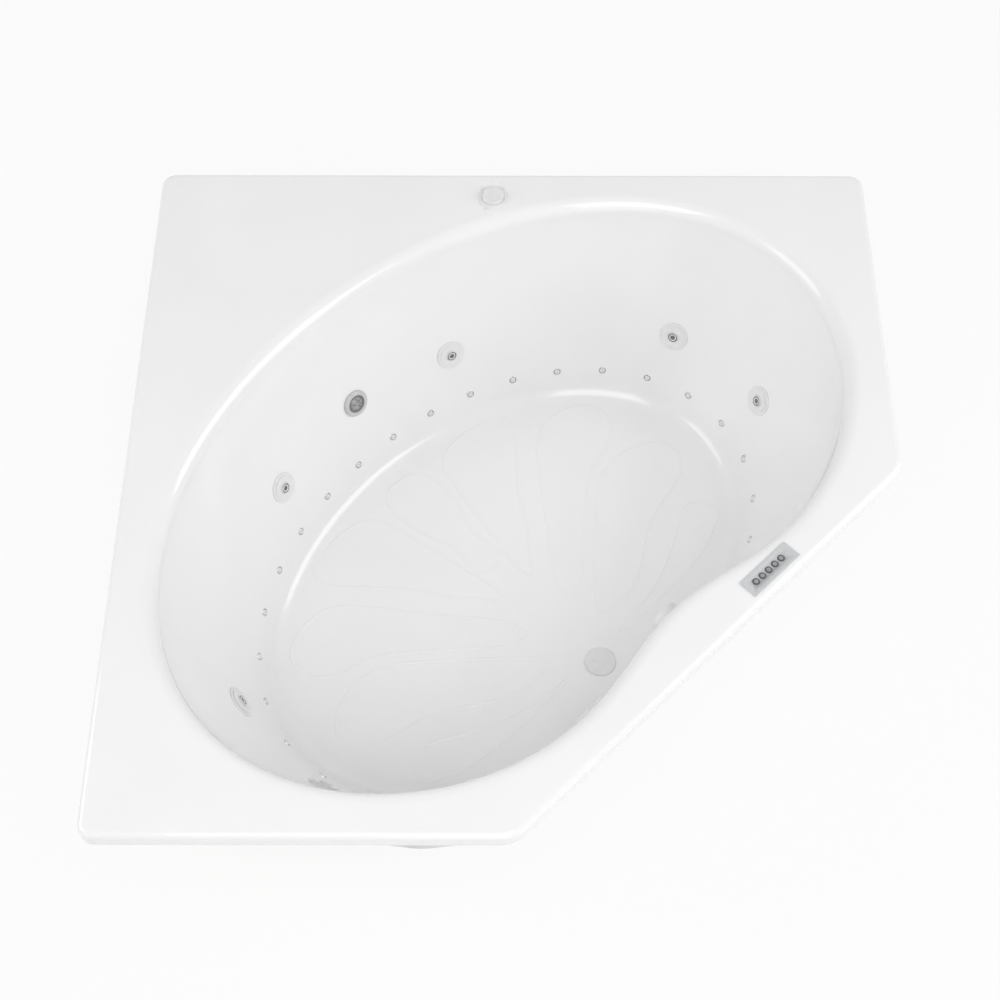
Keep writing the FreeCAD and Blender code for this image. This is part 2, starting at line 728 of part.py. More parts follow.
# Air injectors: a bright ring and a pale cap inside, a body behind the wall, a hose to the air manifold
def injector_angles():
    """Angles on the oval at even distances, from the front on one side round the back to the other."""
    share = (INJECTOR_DEPTH - WALL_TOP) / (WALL_BOTTOM - WALL_TOP)
    half_length, half_width, notch, _ = wall_level(share)
    angle = BACK_ANGLE
    wanted = INJECTOR_PITCH / 2
    here = oval(half_length, half_width, notch, math.radians(angle))
    angles = []
    while len(angles) < INJECTORS_A_SIDE:
        angle += ANGLE_STEP
        there = oval(half_length, half_width, notch, math.radians(angle))
        wanted -= math.hypot(there[0] - here[0], there[1] - here[1])
        here = there
        if wanted <= 0:
            angles.append(angle)
            wanted += INJECTOR_PITCH
    return [2 * BACK_ANGLE - angle for angle in reversed(angles)] + angles


INJECTOR_SEATS = [wall_seat(angle, INJECTOR_DEPTH) for angle in injector_angles()]
INJECTOR_BACK = -(SHELL_WALL + SEAT_GAP)
INJECTOR_END = INJECTOR_BACK - INJECTOR_BODY_LENGTH
RING_POINTS = [seat.multVec(Vector(0, 0, -RING_REACH)) for seat in INJECTOR_SEATS]
RING_SOLID, RING_LINE, RING_CAPS = capped_line(RING_POINTS, RING_RADIUS)


def injector_ring():
    return turned((
        (INJECTOR_CAP_RADIUS, 0), (INJECTOR_RING_RADIUS, 0),
        (INJECTOR_RING_RADIUS, INJECTOR_RING_HEIGHT / 2),
        (INJECTOR_RING_RADIUS - INJECTOR_RING_HEIGHT / 2, INJECTOR_RING_HEIGHT),
        (INJECTOR_CAP_RADIUS, INJECTOR_RING_HEIGHT)))


def injector_body():
    shank = rod(INJECTOR_SHANK_RADIUS, INJECTOR_BACK, 0)
    barrel = rod(INJECTOR_BODY_RADIUS, INJECTOR_END, INJECTOR_BACK)
    return shank.fuse(barrel).cut(rod(INJECTOR_BORE, INJECTOR_END - OVERRUN, OVERRUN)).removeSplitter()


def injector_hose(seat):
    start = seat.multVec(Vector(0, 0, INJECTOR_END))
    end = seat.multVec(Vector(0, 0, -RING_REACH))
    whole = straight(start, end, HOSE_RADIUS).cut(RING_SOLID)
    return whole.cut(straight(start, end, INJECTOR_BORE))


write("air_injector_rings", *[put(injector_ring(), seat) for seat in INJECTOR_SEATS])
injector_cap = tube(INJECTOR_CAP_RADIUS, INJECTOR_HOLE, 0, INJECTOR_CAP_HEIGHT)
write("air_injector_caps", *[put(injector_cap, seat) for seat in INJECTOR_SEATS])
write("air_injector_bodies", *[put(injector_body(), seat) for seat in INJECTOR_SEATS])
write("air_hoses", *[injector_hose(seat) for seat in INJECTOR_SEATS])
write("air_manifold", *RING_LINE, *RING_CAPS)
for seat in INJECTOR_SEATS:
    shell_cuts.append(put(rod(INJECTOR_SHANK_RADIUS + SEAT_GAP, INJECTOR_BACK - OVERRUN, OVERRUN), seat))
    shell_cuts.append(put(rod(INJECTOR_RING_RADIUS + SEAT_GAP, 0, INJECTOR_RING_RADIUS), seat))


# Underwater light in the middle of the back wall
LIGHT_SEAT = wall_seat(BACK_ANGLE, LIGHT_DEPTH)
LIGHT_BACK = -(SHELL_WALL + SEAT_GAP)
light_bezel = turned((
    (LIGHT_LENS_RADIUS, 0), (LIGHT_RADIUS, 0), (LIGHT_RADIUS, LIGHT_HEIGHT / 2),
    (LIGHT_RADIUS - LIGHT_HEIGHT / 2, LIGHT_HEIGHT), (LIGHT_LENS_RADIUS + LIGHT_HEIGHT / 2, LIGHT_HEIGHT),
    (LIGHT_LENS_RADIUS, LIGHT_HEIGHT / 2)))
light_lens = turned((
    (0, 0), (LIGHT_LENS_RADIUS, 0), (LIGHT_LENS_RADIUS, LIGHT_HEIGHT / 2),
    (LIGHT_LENS_RADIUS / 2, LIGHT_LENS_HEIGHT), (0, LIGHT_LENS_HEIGHT)))
light_body = turned((
    (0, LIGHT_BACK - LIGHT_BODY_LENGTH), (LIGHT_LENS_RADIUS, LIGHT_BACK - LIGHT_BODY_LENGTH),
    (LIGHT_LENS_RADIUS, LIGHT_BACK - LIGHT_NUT_HEIGHT), (LIGHT_RADIUS, LIGHT_BACK - LIGHT_NUT_HEIGHT),
    (LIGHT_RADIUS, LIGHT_BACK), (LIGHT_LENS_RADIUS, LIGHT_BACK), (LIGHT_LENS_RADIUS, 0), (0, 0)))
write("light_bezel", put(light_bezel, LIGHT_SEAT))
write("light_lens", put(light_lens, LIGHT_SEAT))
write("light_body", put(light_body, LIGHT_SEAT))
shell_cuts.append(put(rod(LIGHT_LENS_RADIUS + SEAT_GAP, LIGHT_BACK - OVERRUN, OVERRUN), LIGHT_SEAT))
shell_cuts.append(put(rod(LIGHT_RADIUS + SEAT_GAP, 0, LIGHT_RADIUS), LIGHT_SEAT))


# Drain: flange with a guide for the stem, lifting stopper and the shoe under the floor
DRAIN = frame_at(spot(0, DRAIN_V, HEIGHT - FLOOR_DEPTH - DRAIN_RECESS), UP, ALONG_V)
SHOE_TOP = -(FLOOR_WALL + SEAT_GAP)
SHOE_OUTLET = WASTE_HEIGHT - DRAIN.Base.z


def drain_flange():
    ring = turned((
        (DRAIN_BORE, -DRAIN_TUBE_LENGTH), (DRAIN_TUBE_RADIUS, -DRAIN_TUBE_LENGTH), (DRAIN_TUBE_RADIUS, 0),
        (DRAIN_FLANGE_RADIUS, 0), (DRAIN_FLANGE_RADIUS, DRAIN_FLANGE_HEIGHT / 2),
        (DRAIN_FLANGE_RADIUS - DRAIN_FLANGE_HEIGHT, DRAIN_FLANGE_HEIGHT),
        (DRAIN_BORE, DRAIN_FLANGE_HEIGHT)))
    low = -GUIDE_DEPTH - GUIDE_HEIGHT
    reach = (DRAIN_BORE + DRAIN_TUBE_RADIUS) / 2
    arm = block(reach, GUIDE_ARM, low, -GUIDE_DEPTH, reach / 2)
    guide = rod(GUIDE_RADIUS, low, -GUIDE_DEPTH).fuse(around(arm, GUIDE_ARMS))
    return ring.fuse(guide).cut(rod(STEM_RADIUS + RUNNING_GAP, low - OVERRUN, OVERRUN)).removeSplitter()


def drain_stopper():
    low = DRAIN_FLANGE_HEIGHT + TURN_GAP
    top = low + STOPPER_HEIGHT
    plug = DRAIN_BORE - TURN_GAP
    return turned((
        (0, -DRAIN_TUBE_LENGTH), (STEM_RADIUS, -DRAIN_TUBE_LENGTH), (STEM_RADIUS, 0), (plug, 0),
        (plug, low), (STOPPER_RADIUS, low), (STOPPER_RADIUS, low + STOPPER_HEIGHT / 2),
        (STOPPER_RADIUS - STOPPER_HEIGHT, top), (0, top)))


def drain_shoe():
    cup = rod(SHOE_RADIUS, -SHOE_DEPTH, SHOE_TOP)
    outlet = straight(Vector(0, 0, SHOE_OUTLET), Vector(SHOE_REACH, 0, SHOE_OUTLET), WASTE_RADIUS)
    cup = cup.fuse(outlet).cut(rod(DRAIN_TUBE_RADIUS, -DRAIN_TUBE_LENGTH, OVERRUN))
    cup = cup.cut(rod(DRAIN_BORE, PIPE_WALL - SHOE_DEPTH, OVERRUN))
    bore = straight(Vector(0, 0, SHOE_OUTLET), Vector(SHOE_REACH + OVERRUN, 0, SHOE_OUTLET), WASTE_BORE)
    return cup.cut(bore)


write("drain_flange", put(drain_flange(), DRAIN))
write("drain_stopper", put(drain_stopper(), DRAIN))
write("drain_shoe", put(drain_shoe(), DRAIN))
shell_cuts.append(put(rod(DRAIN_TUBE_RADIUS + SEAT_GAP, -SHOE_DEPTH, OVERRUN), DRAIN))
shell_cuts.append(put(rod(DRAIN_FLANGE_RADIUS + SEAT_GAP, 0, DRAIN_FLANGE_RADIUS), DRAIN))


# Overflow: turning plate inside, elbow behind the wall
OVERFLOW = frame_at(wall_seat(FRONT_ANGLE, OVERFLOW_DEPTH).Base, -ALONG_V, -UP.cross(ALONG_V))
OVERFLOW_REACH = ELBOW_V - OVERFLOW.Base.dot(ALONG_V)
ELBOW = OVERFLOW.multVec(Vector(0, 0, -OVERFLOW_REACH))
TEE = spot(0, WASTE_V, WASTE_HEIGHT)
TEE_MOUTH = TEE_REACH - TEE_GRIP
DOWN_PIPE = (TEE - ELBOW).normalize()


def overflow_body():
    """Flange inside, tube through the wall, elbow towards the tee, and a guide for the plate's spindle."""
    back = -OVERFLOW_REACH - ELBOW_RADIUS
    flange = rod(OVERFLOW_FLANGE_RADIUS, 0, OVERFLOW_FLANGE_HEIGHT)
    through = rod(OVERFLOW_TUBE_RADIUS, back, 0).fuse(flange)
    body = put(through, OVERFLOW).fuse(straight(ELBOW, ELBOW + DOWN_PIPE * ELBOW_DROP, ELBOW_RADIUS))
    end = ELBOW + DOWN_PIPE * (ELBOW_DROP + OVERRUN)
    body = body.cut(put(rod(WASTE_BORE, back + PIPE_WALL, OVERFLOW_FLANGE_RADIUS), OVERFLOW))
    body = body.cut(straight(ELBOW, end, ELBOW_BORE))
    body = body.cut(straight(ELBOW + DOWN_PIPE * ELBOW_RADIUS, end, WASTE_RADIUS))
    reach = (WASTE_BORE + OVERFLOW_TUBE_RADIUS) / 2
    arm = block(reach, GUIDE_ARM, -GUIDE_HEIGHT, 0, reach / 2)
    guide = rod(GUIDE_RADIUS + GUIDE_ARM, -GUIDE_HEIGHT, 0).fuse(around(arm, GUIDE_ARMS))
    guide = guide.cut(rod(SPINDLE_RADIUS + RUNNING_GAP, back, OVERRUN))
    return body.fuse(put(guide, OVERFLOW)).removeSplitter()


def overflow_plate():
    low = OVERFLOW_FLANGE_HEIGHT + TURN_GAP
    inside = OVERFLOW_PLATE_RADIUS - PLATE_WALL
    edge = OVERFLOW_PLATE_HEIGHT - PLATE_WALL
    plate = turned((
        (0, -SPINDLE_LENGTH), (SPINDLE_RADIUS, -SPINDLE_LENGTH), (SPINDLE_RADIUS, low),
        (SPINDLE_RADIUS * 2, low), (SPINDLE_RADIUS * 2, edge), (inside, edge), (inside, low),
        (OVERFLOW_PLATE_RADIUS, low), (OVERFLOW_PLATE_RADIUS, edge),
        (inside, OVERFLOW_PLATE_HEIGHT), (0, OVERFLOW_PLATE_HEIGHT)))
    slot = block(OVERFLOW_SLOT, OVERFLOW_PLATE_RADIUS, low - OVERRUN, edge - PLATE_WALL, 0,
                 -OVERFLOW_PLATE_RADIUS)
    return plate.cut(slot)


write("overflow_body", overflow_body())
write("overflow_plate", put(overflow_plate(), OVERFLOW))
shell_cuts.append(put(rod(OVERFLOW_TUBE_RADIUS + SEAT_GAP, -SHELL_WALL - OVERRUN, OVERRUN), OVERFLOW))
shell_cuts.append(put(rod(OVERFLOW_FLANGE_RADIUS + SEAT_GAP, 0, OVERFLOW_FLANGE_RADIUS), OVERFLOW))


# Waste pipes: from the shoe to a tee, from the overflow down into it, and a tailpiece to the floor
def waste_pipe(start, end):
    return straight(start, end, WASTE_RADIUS).cut(straight(start, end, WASTE_BORE))


def waste_tee():
    """A round middle with three arms: up to the overflow, back to the shoe, and down to the tailpiece."""
    high = TEE - DOWN_PIPE * TEE_REACH
    side = TEE - ALONG_V * TEE_REACH
    low = TEE - UP * TEE_DROP
    arms = [straight(TEE, end, ELBOW_RADIUS) for end in (high, side, low)]
    bores = [straight(TEE, end, WASTE_BORE) for end in (high, side, low)]
    body = Part.makeSphere(TEE_RADIUS, TEE).fuse(arms).cut(Part.makeSphere(TEE_CAVITY, TEE)).cut(bores)
    sockets = [straight(high, TEE - DOWN_PIPE * TEE_MOUTH, WASTE_RADIUS),
               straight(side, TEE - ALONG_V * TEE_MOUTH, WASTE_RADIUS)]
    return body.cut(sockets)


SHOE_END = spot(0, DRAIN_V + SHOE_REACH, WASTE_HEIGHT)
TAIL_END = spot(0, WASTE_V, TAIL_LOW)
write("waste_pipes", waste_tee(), waste_pipe(SHOE_END, TEE - ALONG_V * TEE_MOUTH),
      waste_pipe(ELBOW + DOWN_PIPE * ELBOW_RADIUS, TEE - DOWN_PIPE * TEE_MOUTH),
      waste_pipe(TEE - UP * TEE_DROP, TAIL_END))


# Suction fitting low on the front wall and the pipe from it to the pump
SUCTION_SEAT = wall_seat(SUCTION_ANGLE, SUCTION_DEPTH)
SUCTION_BACK = -(SHELL_WALL + SEAT_GAP)
PUMP = frame_at(spot(PUMP_U, PUMP_V, PUMP_HEIGHT), -ALONG_U, ALONG_V)


SUCTION_ELBOW = SUCTION_SEAT.multVec(Vector(0, 0, -SUCTION_PORT))
SUCTION_U = SUCTION_ELBOW.dot(ALONG_U)
SUCTION_LOW = spot(SUCTION_U, SUCTION_LOW_V, SUCTION_LOW_HEIGHT)
SUCTION_DOWN = (SUCTION_LOW - SUCTION_ELBOW).normalize()


def suction_body():
    """Flange inside, nut and closed cup behind the wall, and a spigot down to the pipe."""
    end = -SUCTION_PORT - SUCTION_RADIUS
    cup = turned((
        (0, end), (SUCTION_CUP_RADIUS, end), (SUCTION_CUP_RADIUS, SUCTION_BACK - SUCTION_NUT_HEIGHT),
        (SUCTION_NUT_RADIUS, SUCTION_BACK - SUCTION_NUT_HEIGHT), (SUCTION_NUT_RADIUS, SUCTION_BACK),
        (SUCTION_CUP_RADIUS, SUCTION_BACK), (SUCTION_CUP_RADIUS, 0), (COVER_RADIUS, 0),
        (COVER_RADIUS, SUCTION_FLANGE_HEIGHT), (0, SUCTION_FLANGE_HEIGHT)))
    inside = rod(SUCTION_CUP_RADIUS - PIPE_WALL, end + PIPE_WALL, OVERRUN)
    spigot_end = SUCTION_ELBOW + SUCTION_DOWN * SUCTION_SPIGOT
    body = put(cup, SUCTION_SEAT).fuse(straight(SUCTION_ELBOW, spigot_end, SUCTION_RADIUS))
    body = body.cut(put(inside, SUCTION_SEAT))
    return body.cut(straight(SUCTION_ELBOW, spigot_end + SUCTION_DOWN * OVERRUN, SUCTION_BORE))


def suction_cover():
    low = SUCTION_FLANGE_HEIGHT
    rise = COVER_HEIGHT - low
    outside = [(COVER_RADIUS * radius, low + rise * height) for radius, height in COVER_SHARES]
    scale = (COVER_RADIUS - COVER_WALL) / COVER_RADIUS
    lower = (rise - COVER_WALL) / rise
    inside = [(radius * scale, low + (height - low) * lower) for radius, height in reversed(outside)]
    cover = turned(outside + inside)
    slot = block(COVER_RADIUS * COVER_SLOT_SHARE, COVER_SLOT, low, COVER_HEIGHT + OVERRUN,
                 COVER_RADIUS * COVER_REACH_SHARE)
    return cover.cut(around(slot, COVER_SLOTS))


PUMP_INLET = PUMP.multVec(Vector(0, 0, INLET_END))
SUCTION_POINTS = [SUCTION_ELBOW + SUCTION_DOWN * SUCTION_SPIGOT, SUCTION_LOW,
                  spot(SUCTION_U, PUMP_V, SUCTION_LOW_HEIGHT), spot(SUCTION_U, PUMP_V, PUMP_HEIGHT),
                  PUMP_INLET]
write("suction_body", suction_body())
write("suction_cover", put(suction_cover(), SUCTION_SEAT))
write("suction_pipe", *lengths(SUCTION_POINTS, SUCTION_BEND, SUCTION_RADIUS, SUCTION_BORE))
shell_cuts.append(put(rod(SUCTION_CUP_RADIUS + SEAT_GAP, SUCTION_BACK - OVERRUN, OVERRUN), SUCTION_SEAT))
shell_cuts.append(put(rod(COVER_RADIUS + SEAT_GAP, 0, COVER_RADIUS), SUCTION_SEAT))
nut_seat = rod(SUCTION_NUT_RADIUS + SEAT_GAP, SUCTION_BACK - OVERRUN, SUCTION_BACK)
shell_cuts.append(put(nut_seat, SUCTION_SEAT))


# Pump: local Z along its shaft towards the inlet, local X towards the basin, local Y up
VOLUTE_MIDDLE = (VOLUTE_BACK + VOLUTE_FRONT) / 2
OUTLET_RISE = WATER_HEIGHT - PUMP_HEIGHT
OUTLET_AXIS = Vector(0, OUTLET_RISE, VOLUTE_MIDDLE)
OUTLET = frame_at(PUMP.multVec(OUTLET_AXIS), ALONG_V, UP)


def fanned(shape, count, start, sweep):
    """Copies of a shape turned about local Z through part of a turn."""
    copies = []
    for step in range(count):
        copy = shape.copy()
        copy.rotate(ORIGIN, UP, start + sweep * step / (count - 1))
        copies.append(copy)
    return copies


def pump_volute():
    spout = straight(OUTLET_AXIS, OUTLET_AXIS + Vector(OUTLET_END, 0, 0), OUTLET_RADIUS)
    inlet = rod(INLET_RADIUS, VOLUTE_FRONT, INLET_END)
    body = rod(VOLUTE_RADIUS, VOLUTE_BACK, VOLUTE_FRONT).fuse([inlet, spout])
    chamber = rod(VOLUTE_RADIUS - VOLUTE_WALL, VOLUTE_BACK + VOLUTE_WALL, VOLUTE_FRONT - VOLUTE_WALL)
    mouth = straight(OUTLET_AXIS, OUTLET_AXIS + Vector(OUTLET_END + OVERRUN, 0, 0), DISCHARGE_BORE)
    shaft_hole = rod(SHAFT_RADIUS + RUNNING_GAP, VOLUTE_BACK - OVERRUN, VOLUTE_MIDDLE)
    return body.cut([chamber, mouth, rod(SUCTION_BORE, VOLUTE_MIDDLE, INLET_END + OVERRUN), shaft_hole])


def pump_impeller():
    disc = rod(IMPELLER_RADIUS, IMPELLER_BACK, IMPELLER_BACK + IMPELLER_DISC)
    hub = rod(HUB_RADIUS, IMPELLER_BACK, IMPELLER_FRONT)
    vane = block(IMPELLER_RADIUS - HUB_RADIUS, VANE_WIDTH, IMPELLER_BACK, IMPELLER_FRONT,
                 (IMPELLER_RADIUS + HUB_RADIUS) / 2 - VANE_WIDTH, HUB_RADIUS / 2)
    wheel = disc.fuse([hub] + around(vane, VANES))
    wheel = wheel.common(rod(IMPELLER_RADIUS, IMPELLER_BACK, IMPELLER_FRONT))
    socket = rod(SHAFT_RADIUS, IMPELLER_BACK - OVERRUN, IMPELLER_FRONT - VANE_WIDTH)
    return wheel.cut(socket).removeSplitter()


def pump_motor():
    groove = block(GROOVE_DEPTH * 2, GROOVE_WIDTH, MOTOR_BACK + GROOVE_END, VOLUTE_BACK - GROOVE_END,
                   MOTOR_RADIUS)
    can = rod(MOTOR_RADIUS, MOTOR_BACK, VOLUTE_BACK)
    can = can.cut(fanned(groove, MOTOR_GROOVES, GROOVE_START, GROOVE_SWEEP))
    return can.cut(rod(SHAFT_RADIUS + RUNNING_GAP, MOTOR_BACK - OVERRUN, VOLUTE_BACK + OVERRUN))


def motor_fan_cover():
    low = MOTOR_BACK - FAN_COVER_LENGTH
    cup = rod(MOTOR_RADIUS, low, MOTOR_BACK).cut(rod(MOTOR_RADIUS - PIPE_WALL, low + PIPE_WALL, MOTOR_BACK))
    slot = block(MOTOR_RADIUS / 2, GROOVE_WIDTH, low - OVERRUN, low + OVERRUN, MOTOR_RADIUS / 2)
    return cup.cut(around(slot, MOTOR_GROOVES))


def pump_cradle():
    foot = BOARD_TOP - PUMP_HEIGHT
    saddle = Part.makeBox(CRADLE_WIDTH, CRADLE_HEIGHT, CRADLE_LENGTH,
                          Vector(-CRADLE_WIDTH / 2, foot, MOTOR_BACK + CRADLE_LENGTH / 2))
    return saddle.cut(rod(MOTOR_RADIUS, MOTOR_BACK, VOLUTE_BACK))


def union_nut(large, small, joint):
    """A nut over the joint of a larger spigot and a smaller pipe."""
    return turned((
        (large, joint - NUT_LENGTH / 2), (large + NUT_WALL, joint - NUT_LENGTH / 2),
        (large + NUT_WALL, joint + NUT_LENGTH / 2), (small, joint + NUT_LENGTH / 2), (small, joint),
        (large, joint)))


def discharge_pipe():
    start = OUTLET.multVec(Vector(0, 0, OUTLET_END))
    end = OUTLET.multVec(Vector(0, 0, BACK_OF_MANIFOLD.dot(ALONG_V) - PUMP_V))
    whole = straight(start, end, DISCHARGE_RADIUS).cut(straight(start, end, DISCHARGE_BORE))
    pieces = whole.cut(WATER_SOLID).Solids
    return min(pieces, key=lambda piece: (piece.CenterOfMass - start).Length)


write("pump_volute", put(pump_volute(), PUMP))
write("pump_impeller", put(pump_impeller(), PUMP))
write("pump_shaft", put(rod(SHAFT_RADIUS, MOTOR_BACK + OVERRUN, IMPELLER_FRONT - VANE_WIDTH), PUMP))
write("pump_motor", put(pump_motor(), PUMP))
write("motor_fan_cover", put(motor_fan_cover(), PUMP))
write("pump_cradle", put(pump_cradle(), PUMP))
write("union_nuts", put(union_nut(INLET_RADIUS, SUCTION_RADIUS, INLET_END), PUMP),
      put(union_nut(OUTLET_RADIUS, DISCHARGE_RADIUS, OUTLET_END), OUTLET))
write("water_manifold", *WATER_LINE, *WATER_CAPS, *WATER_BRANCHES, discharge_pipe())


# Blower: local X towards the basin, local Y towards the cut, with a rising loop pipe to the air manifold
BLOWER = frame_at(spot(BLOWER_U, BLOWER_V, BOARD_TOP), UP, -ALONG_U)
BLOWER_AXIS = Vector(BLOWER_OFFSET, 0, BLOWER_HEIGHT / 2)
FAN_LOW = BLOWER_HEIGHT * FAN_LOW_SHARE
FAN_HIGH = BLOWER_HEIGHT * FAN_HIGH_SHARE


def blower_housing():
    spout = straight(BLOWER_AXIS, BLOWER_AXIS + Vector(0, BLOWER_REACH, 0), BLOWER_PIPE_RADIUS)
    body = rod(BLOWER_RADIUS, 0, BLOWER_HEIGHT).fuse(spout)
    mouth = straight(BLOWER_AXIS, BLOWER_AXIS + Vector(0, BLOWER_REACH + OVERRUN, 0), BLOWER_BORE)
    body = body.cut([rod(BLOWER_RADIUS - PIPE_WALL, PIPE_WALL, BLOWER_HEIGHT), mouth])
    slot = block(BLOWER_RADIUS, GROOVE_WIDTH, FAN_LOW, FAN_HIGH, BLOWER_RADIUS)
    return body.cut(fanned(slot, BLOWER_SLOTS, BLOWER_SLOT_START, BLOWER_SLOT_SWEEP))


def blower_fan():
    blade = block(FAN_BLADE, GROOVE_DEPTH, FAN_LOW, FAN_HIGH, FAN_RADIUS - FAN_BLADE / 2)
    disc = rod(FAN_RADIUS, FAN_LOW, FAN_LOW + PIPE_WALL)
    shaft = rod(SPINDLE_RADIUS, FAN_LOW, BLOWER_HEIGHT + FAN_SHAFT)
    wheel = disc.fuse([rod(HUB_RADIUS, FAN_LOW, FAN_HIGH), shaft] + around(blade, FAN_BLADES))
    return wheel.common(rod(FAN_RADIUS, FAN_LOW, BLOWER_HEIGHT + FAN_SHAFT)).removeSplitter()


def blower_motor():
    top = BLOWER_HEIGHT + BLOWER_MOTOR_HEIGHT
    can = turned((
        (0, BLOWER_HEIGHT), (BLOWER_RADIUS, BLOWER_HEIGHT), (BLOWER_RADIUS, BLOWER_HEIGHT + PIPE_WALL),
        (MOTOR_RADIUS, BLOWER_HEIGHT + PIPE_WALL), (MOTOR_RADIUS, top - LIP_ROUND),
        (MOTOR_RADIUS - LIP_ROUND, top), (0, top)))
    return can.cut(rod(SPINDLE_RADIUS + RUNNING_GAP, 0, BLOWER_HEIGHT + FAN_SHAFT + OVERRUN))


RING_JOIN = (RING_POINTS[-3] + RING_POINTS[-2]) / 2
BLOWER_MOUTH = BLOWER.multVec(BLOWER_AXIS + Vector(0, BLOWER_REACH, 0))
LOOP_FOOT = BLOWER.multVec(BLOWER_AXIS + Vector(0, BLOWER_REACH + LOOP_RUN, 0))
LOOP_DOWN = spot(LOOP_U, LOOP_V, RING_JOIN.z)
LOOP_POINTS = [BLOWER_MOUTH, LOOP_FOOT, Vector(LOOP_FOOT.x, LOOP_FOOT.y, LOOP_HEIGHT),
               spot(LOOP_U, LOOP_V, LOOP_HEIGHT), LOOP_DOWN, RING_JOIN]
blower_pipe = []
for length in lengths(LOOP_POINTS, LOOP_BEND, BLOWER_PIPE_RADIUS, BLOWER_BORE):
    blower_pipe.append(max(length.cut(RING_SOLID).Solids, key=lambda piece: piece.Volume))
check_valve = turned((
    (BLOWER_PIPE_RADIUS, 0), (VALVE_RADIUS, VALVE_EDGE), (VALVE_RADIUS, VALVE_LENGTH - VALVE_EDGE),
    (BLOWER_PIPE_RADIUS, VALVE_LENGTH)))
write("blower_housing", put(blower_housing(), BLOWER))
write("blower_fan", put(blower_fan(), BLOWER))
write("blower_motor", put(blower_motor(), BLOWER))
write("blower_pipe", *blower_pipe)
write("check_valve", put(check_valve, frame_at(spot(LOOP_U, LOOP_V, VALVE_LOW), UP, ALONG_U)))


# Keypad on the deck: plate, five buttons and the housing under them; local X along the cut
KEYPAD = frame_at(spot(KEYPAD_U, KEYPAD_V, HEIGHT), UP, ALONG_U)
BUTTON_PLACES = [BUTTON_MIDDLE + BUTTON_PITCH * (index - (BUTTONS - 1) / 2) for index in range(BUTTONS)]


def keypad_plate():
    half_length = KEYPAD_LENGTH / 2
    half_width = KEYPAD_WIDTH / 2
    corners = ((-half_length, -half_width), (half_length, -half_width), (half_length, half_width),
               (-half_length, half_width))
    plate = Part.Face(rounded_loop(corners, [KEYPAD_CORNER] * len(corners), 0)).extrude(UP * KEYPAD_HEIGHT)
    plate = plate.makeFillet(KEYPAD_EDGE, level_edges(plate, KEYPAD_HEIGHT))
    return plate.cut([button_hole(x, BUTTON_RADIUS + TURN_GAP, -OVERRUN, OVERRUN) for x in BUTTON_PLACES])


def button_hole(x, radius, low, high):
    return Part.makeCylinder(radius, high - low, Vector(x, 0, low), UP)


def keypad_base():
    body = block(KEYPAD_BASE_LENGTH, KEYPAD_BASE_WIDTH, -KEYPAD_BASE_DEPTH, 0)
    return body.cut([button_hole(x, BUTTON_FLANGE + TURN_GAP, -WELL_DEPTH, OVERRUN) for x in BUTTON_PLACES])


def keypad_button(x):
    top = KEYPAD_HEIGHT + BUTTON_PROUD
    button = turned((
        (0, -TURN_GAP - BUTTON_FLANGE_HEIGHT), (BUTTON_FLANGE, -TURN_GAP - BUTTON_FLANGE_HEIGHT),
        (BUTTON_FLANGE, -TURN_GAP), (BUTTON_RADIUS, -TURN_GAP), (BUTTON_RADIUS, top - BUTTON_PROUD / 2),
        (BUTTON_RADIUS - BUTTON_PROUD / 2, top), (0, top)))
    button.translate(Vector(x, 0, 0))
    return button


write("keypad_plate", put(keypad_plate(), KEYPAD))
write("keypad_base", put(keypad_base(), KEYPAD))
for number, place in enumerate(BUTTON_PLACES, 1):
    write("keypad_button_%d" % number, put(keypad_button(place), KEYPAD))
shell_cuts.append(put(block(KEYPAD_BASE_LENGTH + SEAT_GAP, KEYPAD_BASE_WIDTH + SEAT_GAP, -KEYPAD_BASE_DEPTH,
                            OVERRUN), KEYPAD))


# Air control on the deck: collar, knob and the valve body below
CONTROL = FreeCAD.Placement(spot(CONTROL_U, CONTROL_V, HEIGHT), FreeCAD.Rotation())


def air_control_knob():
    low = COLLAR_SEAT + TURN_GAP
    knob = turned((
        (0, -KNOB_STEM_LENGTH), (SPINDLE_RADIUS, -KNOB_STEM_LENGTH), (SPINDLE_RADIUS, low),
        (KNOB_RADIUS, low), (KNOB_RADIUS, KNOB_HEIGHT - KNOB_EDGE), (KNOB_RADIUS - KNOB_EDGE, KNOB_HEIGHT),
        (0, KNOB_HEIGHT)))
    scallop = Part.makeSphere(KNOB_SCALLOP, Vector(KNOB_RADIUS + KNOB_SCALLOP / 2, 0, KNOB_HEIGHT))
    return knob.cut(around(scallop, KNOB_SCALLOPS))


air_control_collar = turned((
    (SPINDLE_RADIUS * 2, 0), (COLLAR_RADIUS, 0), (COLLAR_RADIUS, COLLAR_SEAT),
    (KNOB_RADIUS + COLLAR_SEAT, COLLAR_HEIGHT), (KNOB_RADIUS + TURN_GAP, COLLAR_HEIGHT),
    (KNOB_RADIUS + TURN_GAP, COLLAR_SEAT), (SPINDLE_RADIUS * 2, COLLAR_SEAT)))
stem_bore = SPINDLE_RADIUS + RUNNING_GAP
stem_end = -KNOB_STEM_LENGTH - OVERRUN
under_deck = -SHELL_WALL - SEAT_GAP
air_control_body = turned((
    (stem_bore, 0), (CONTROL_SHANK_RADIUS, 0), (CONTROL_SHANK_RADIUS, under_deck),
    (CONTROL_RADIUS, under_deck), (CONTROL_RADIUS, -CONTROL_LENGTH),
    (AIR_RADIUS - PIPE_WALL, -CONTROL_LENGTH),
    (AIR_RADIUS - PIPE_WALL, stem_end), (stem_bore, stem_end)))
write("air_control_collar", put(air_control_collar, CONTROL))
write("air_control_knob", put(air_control_knob(), CONTROL))
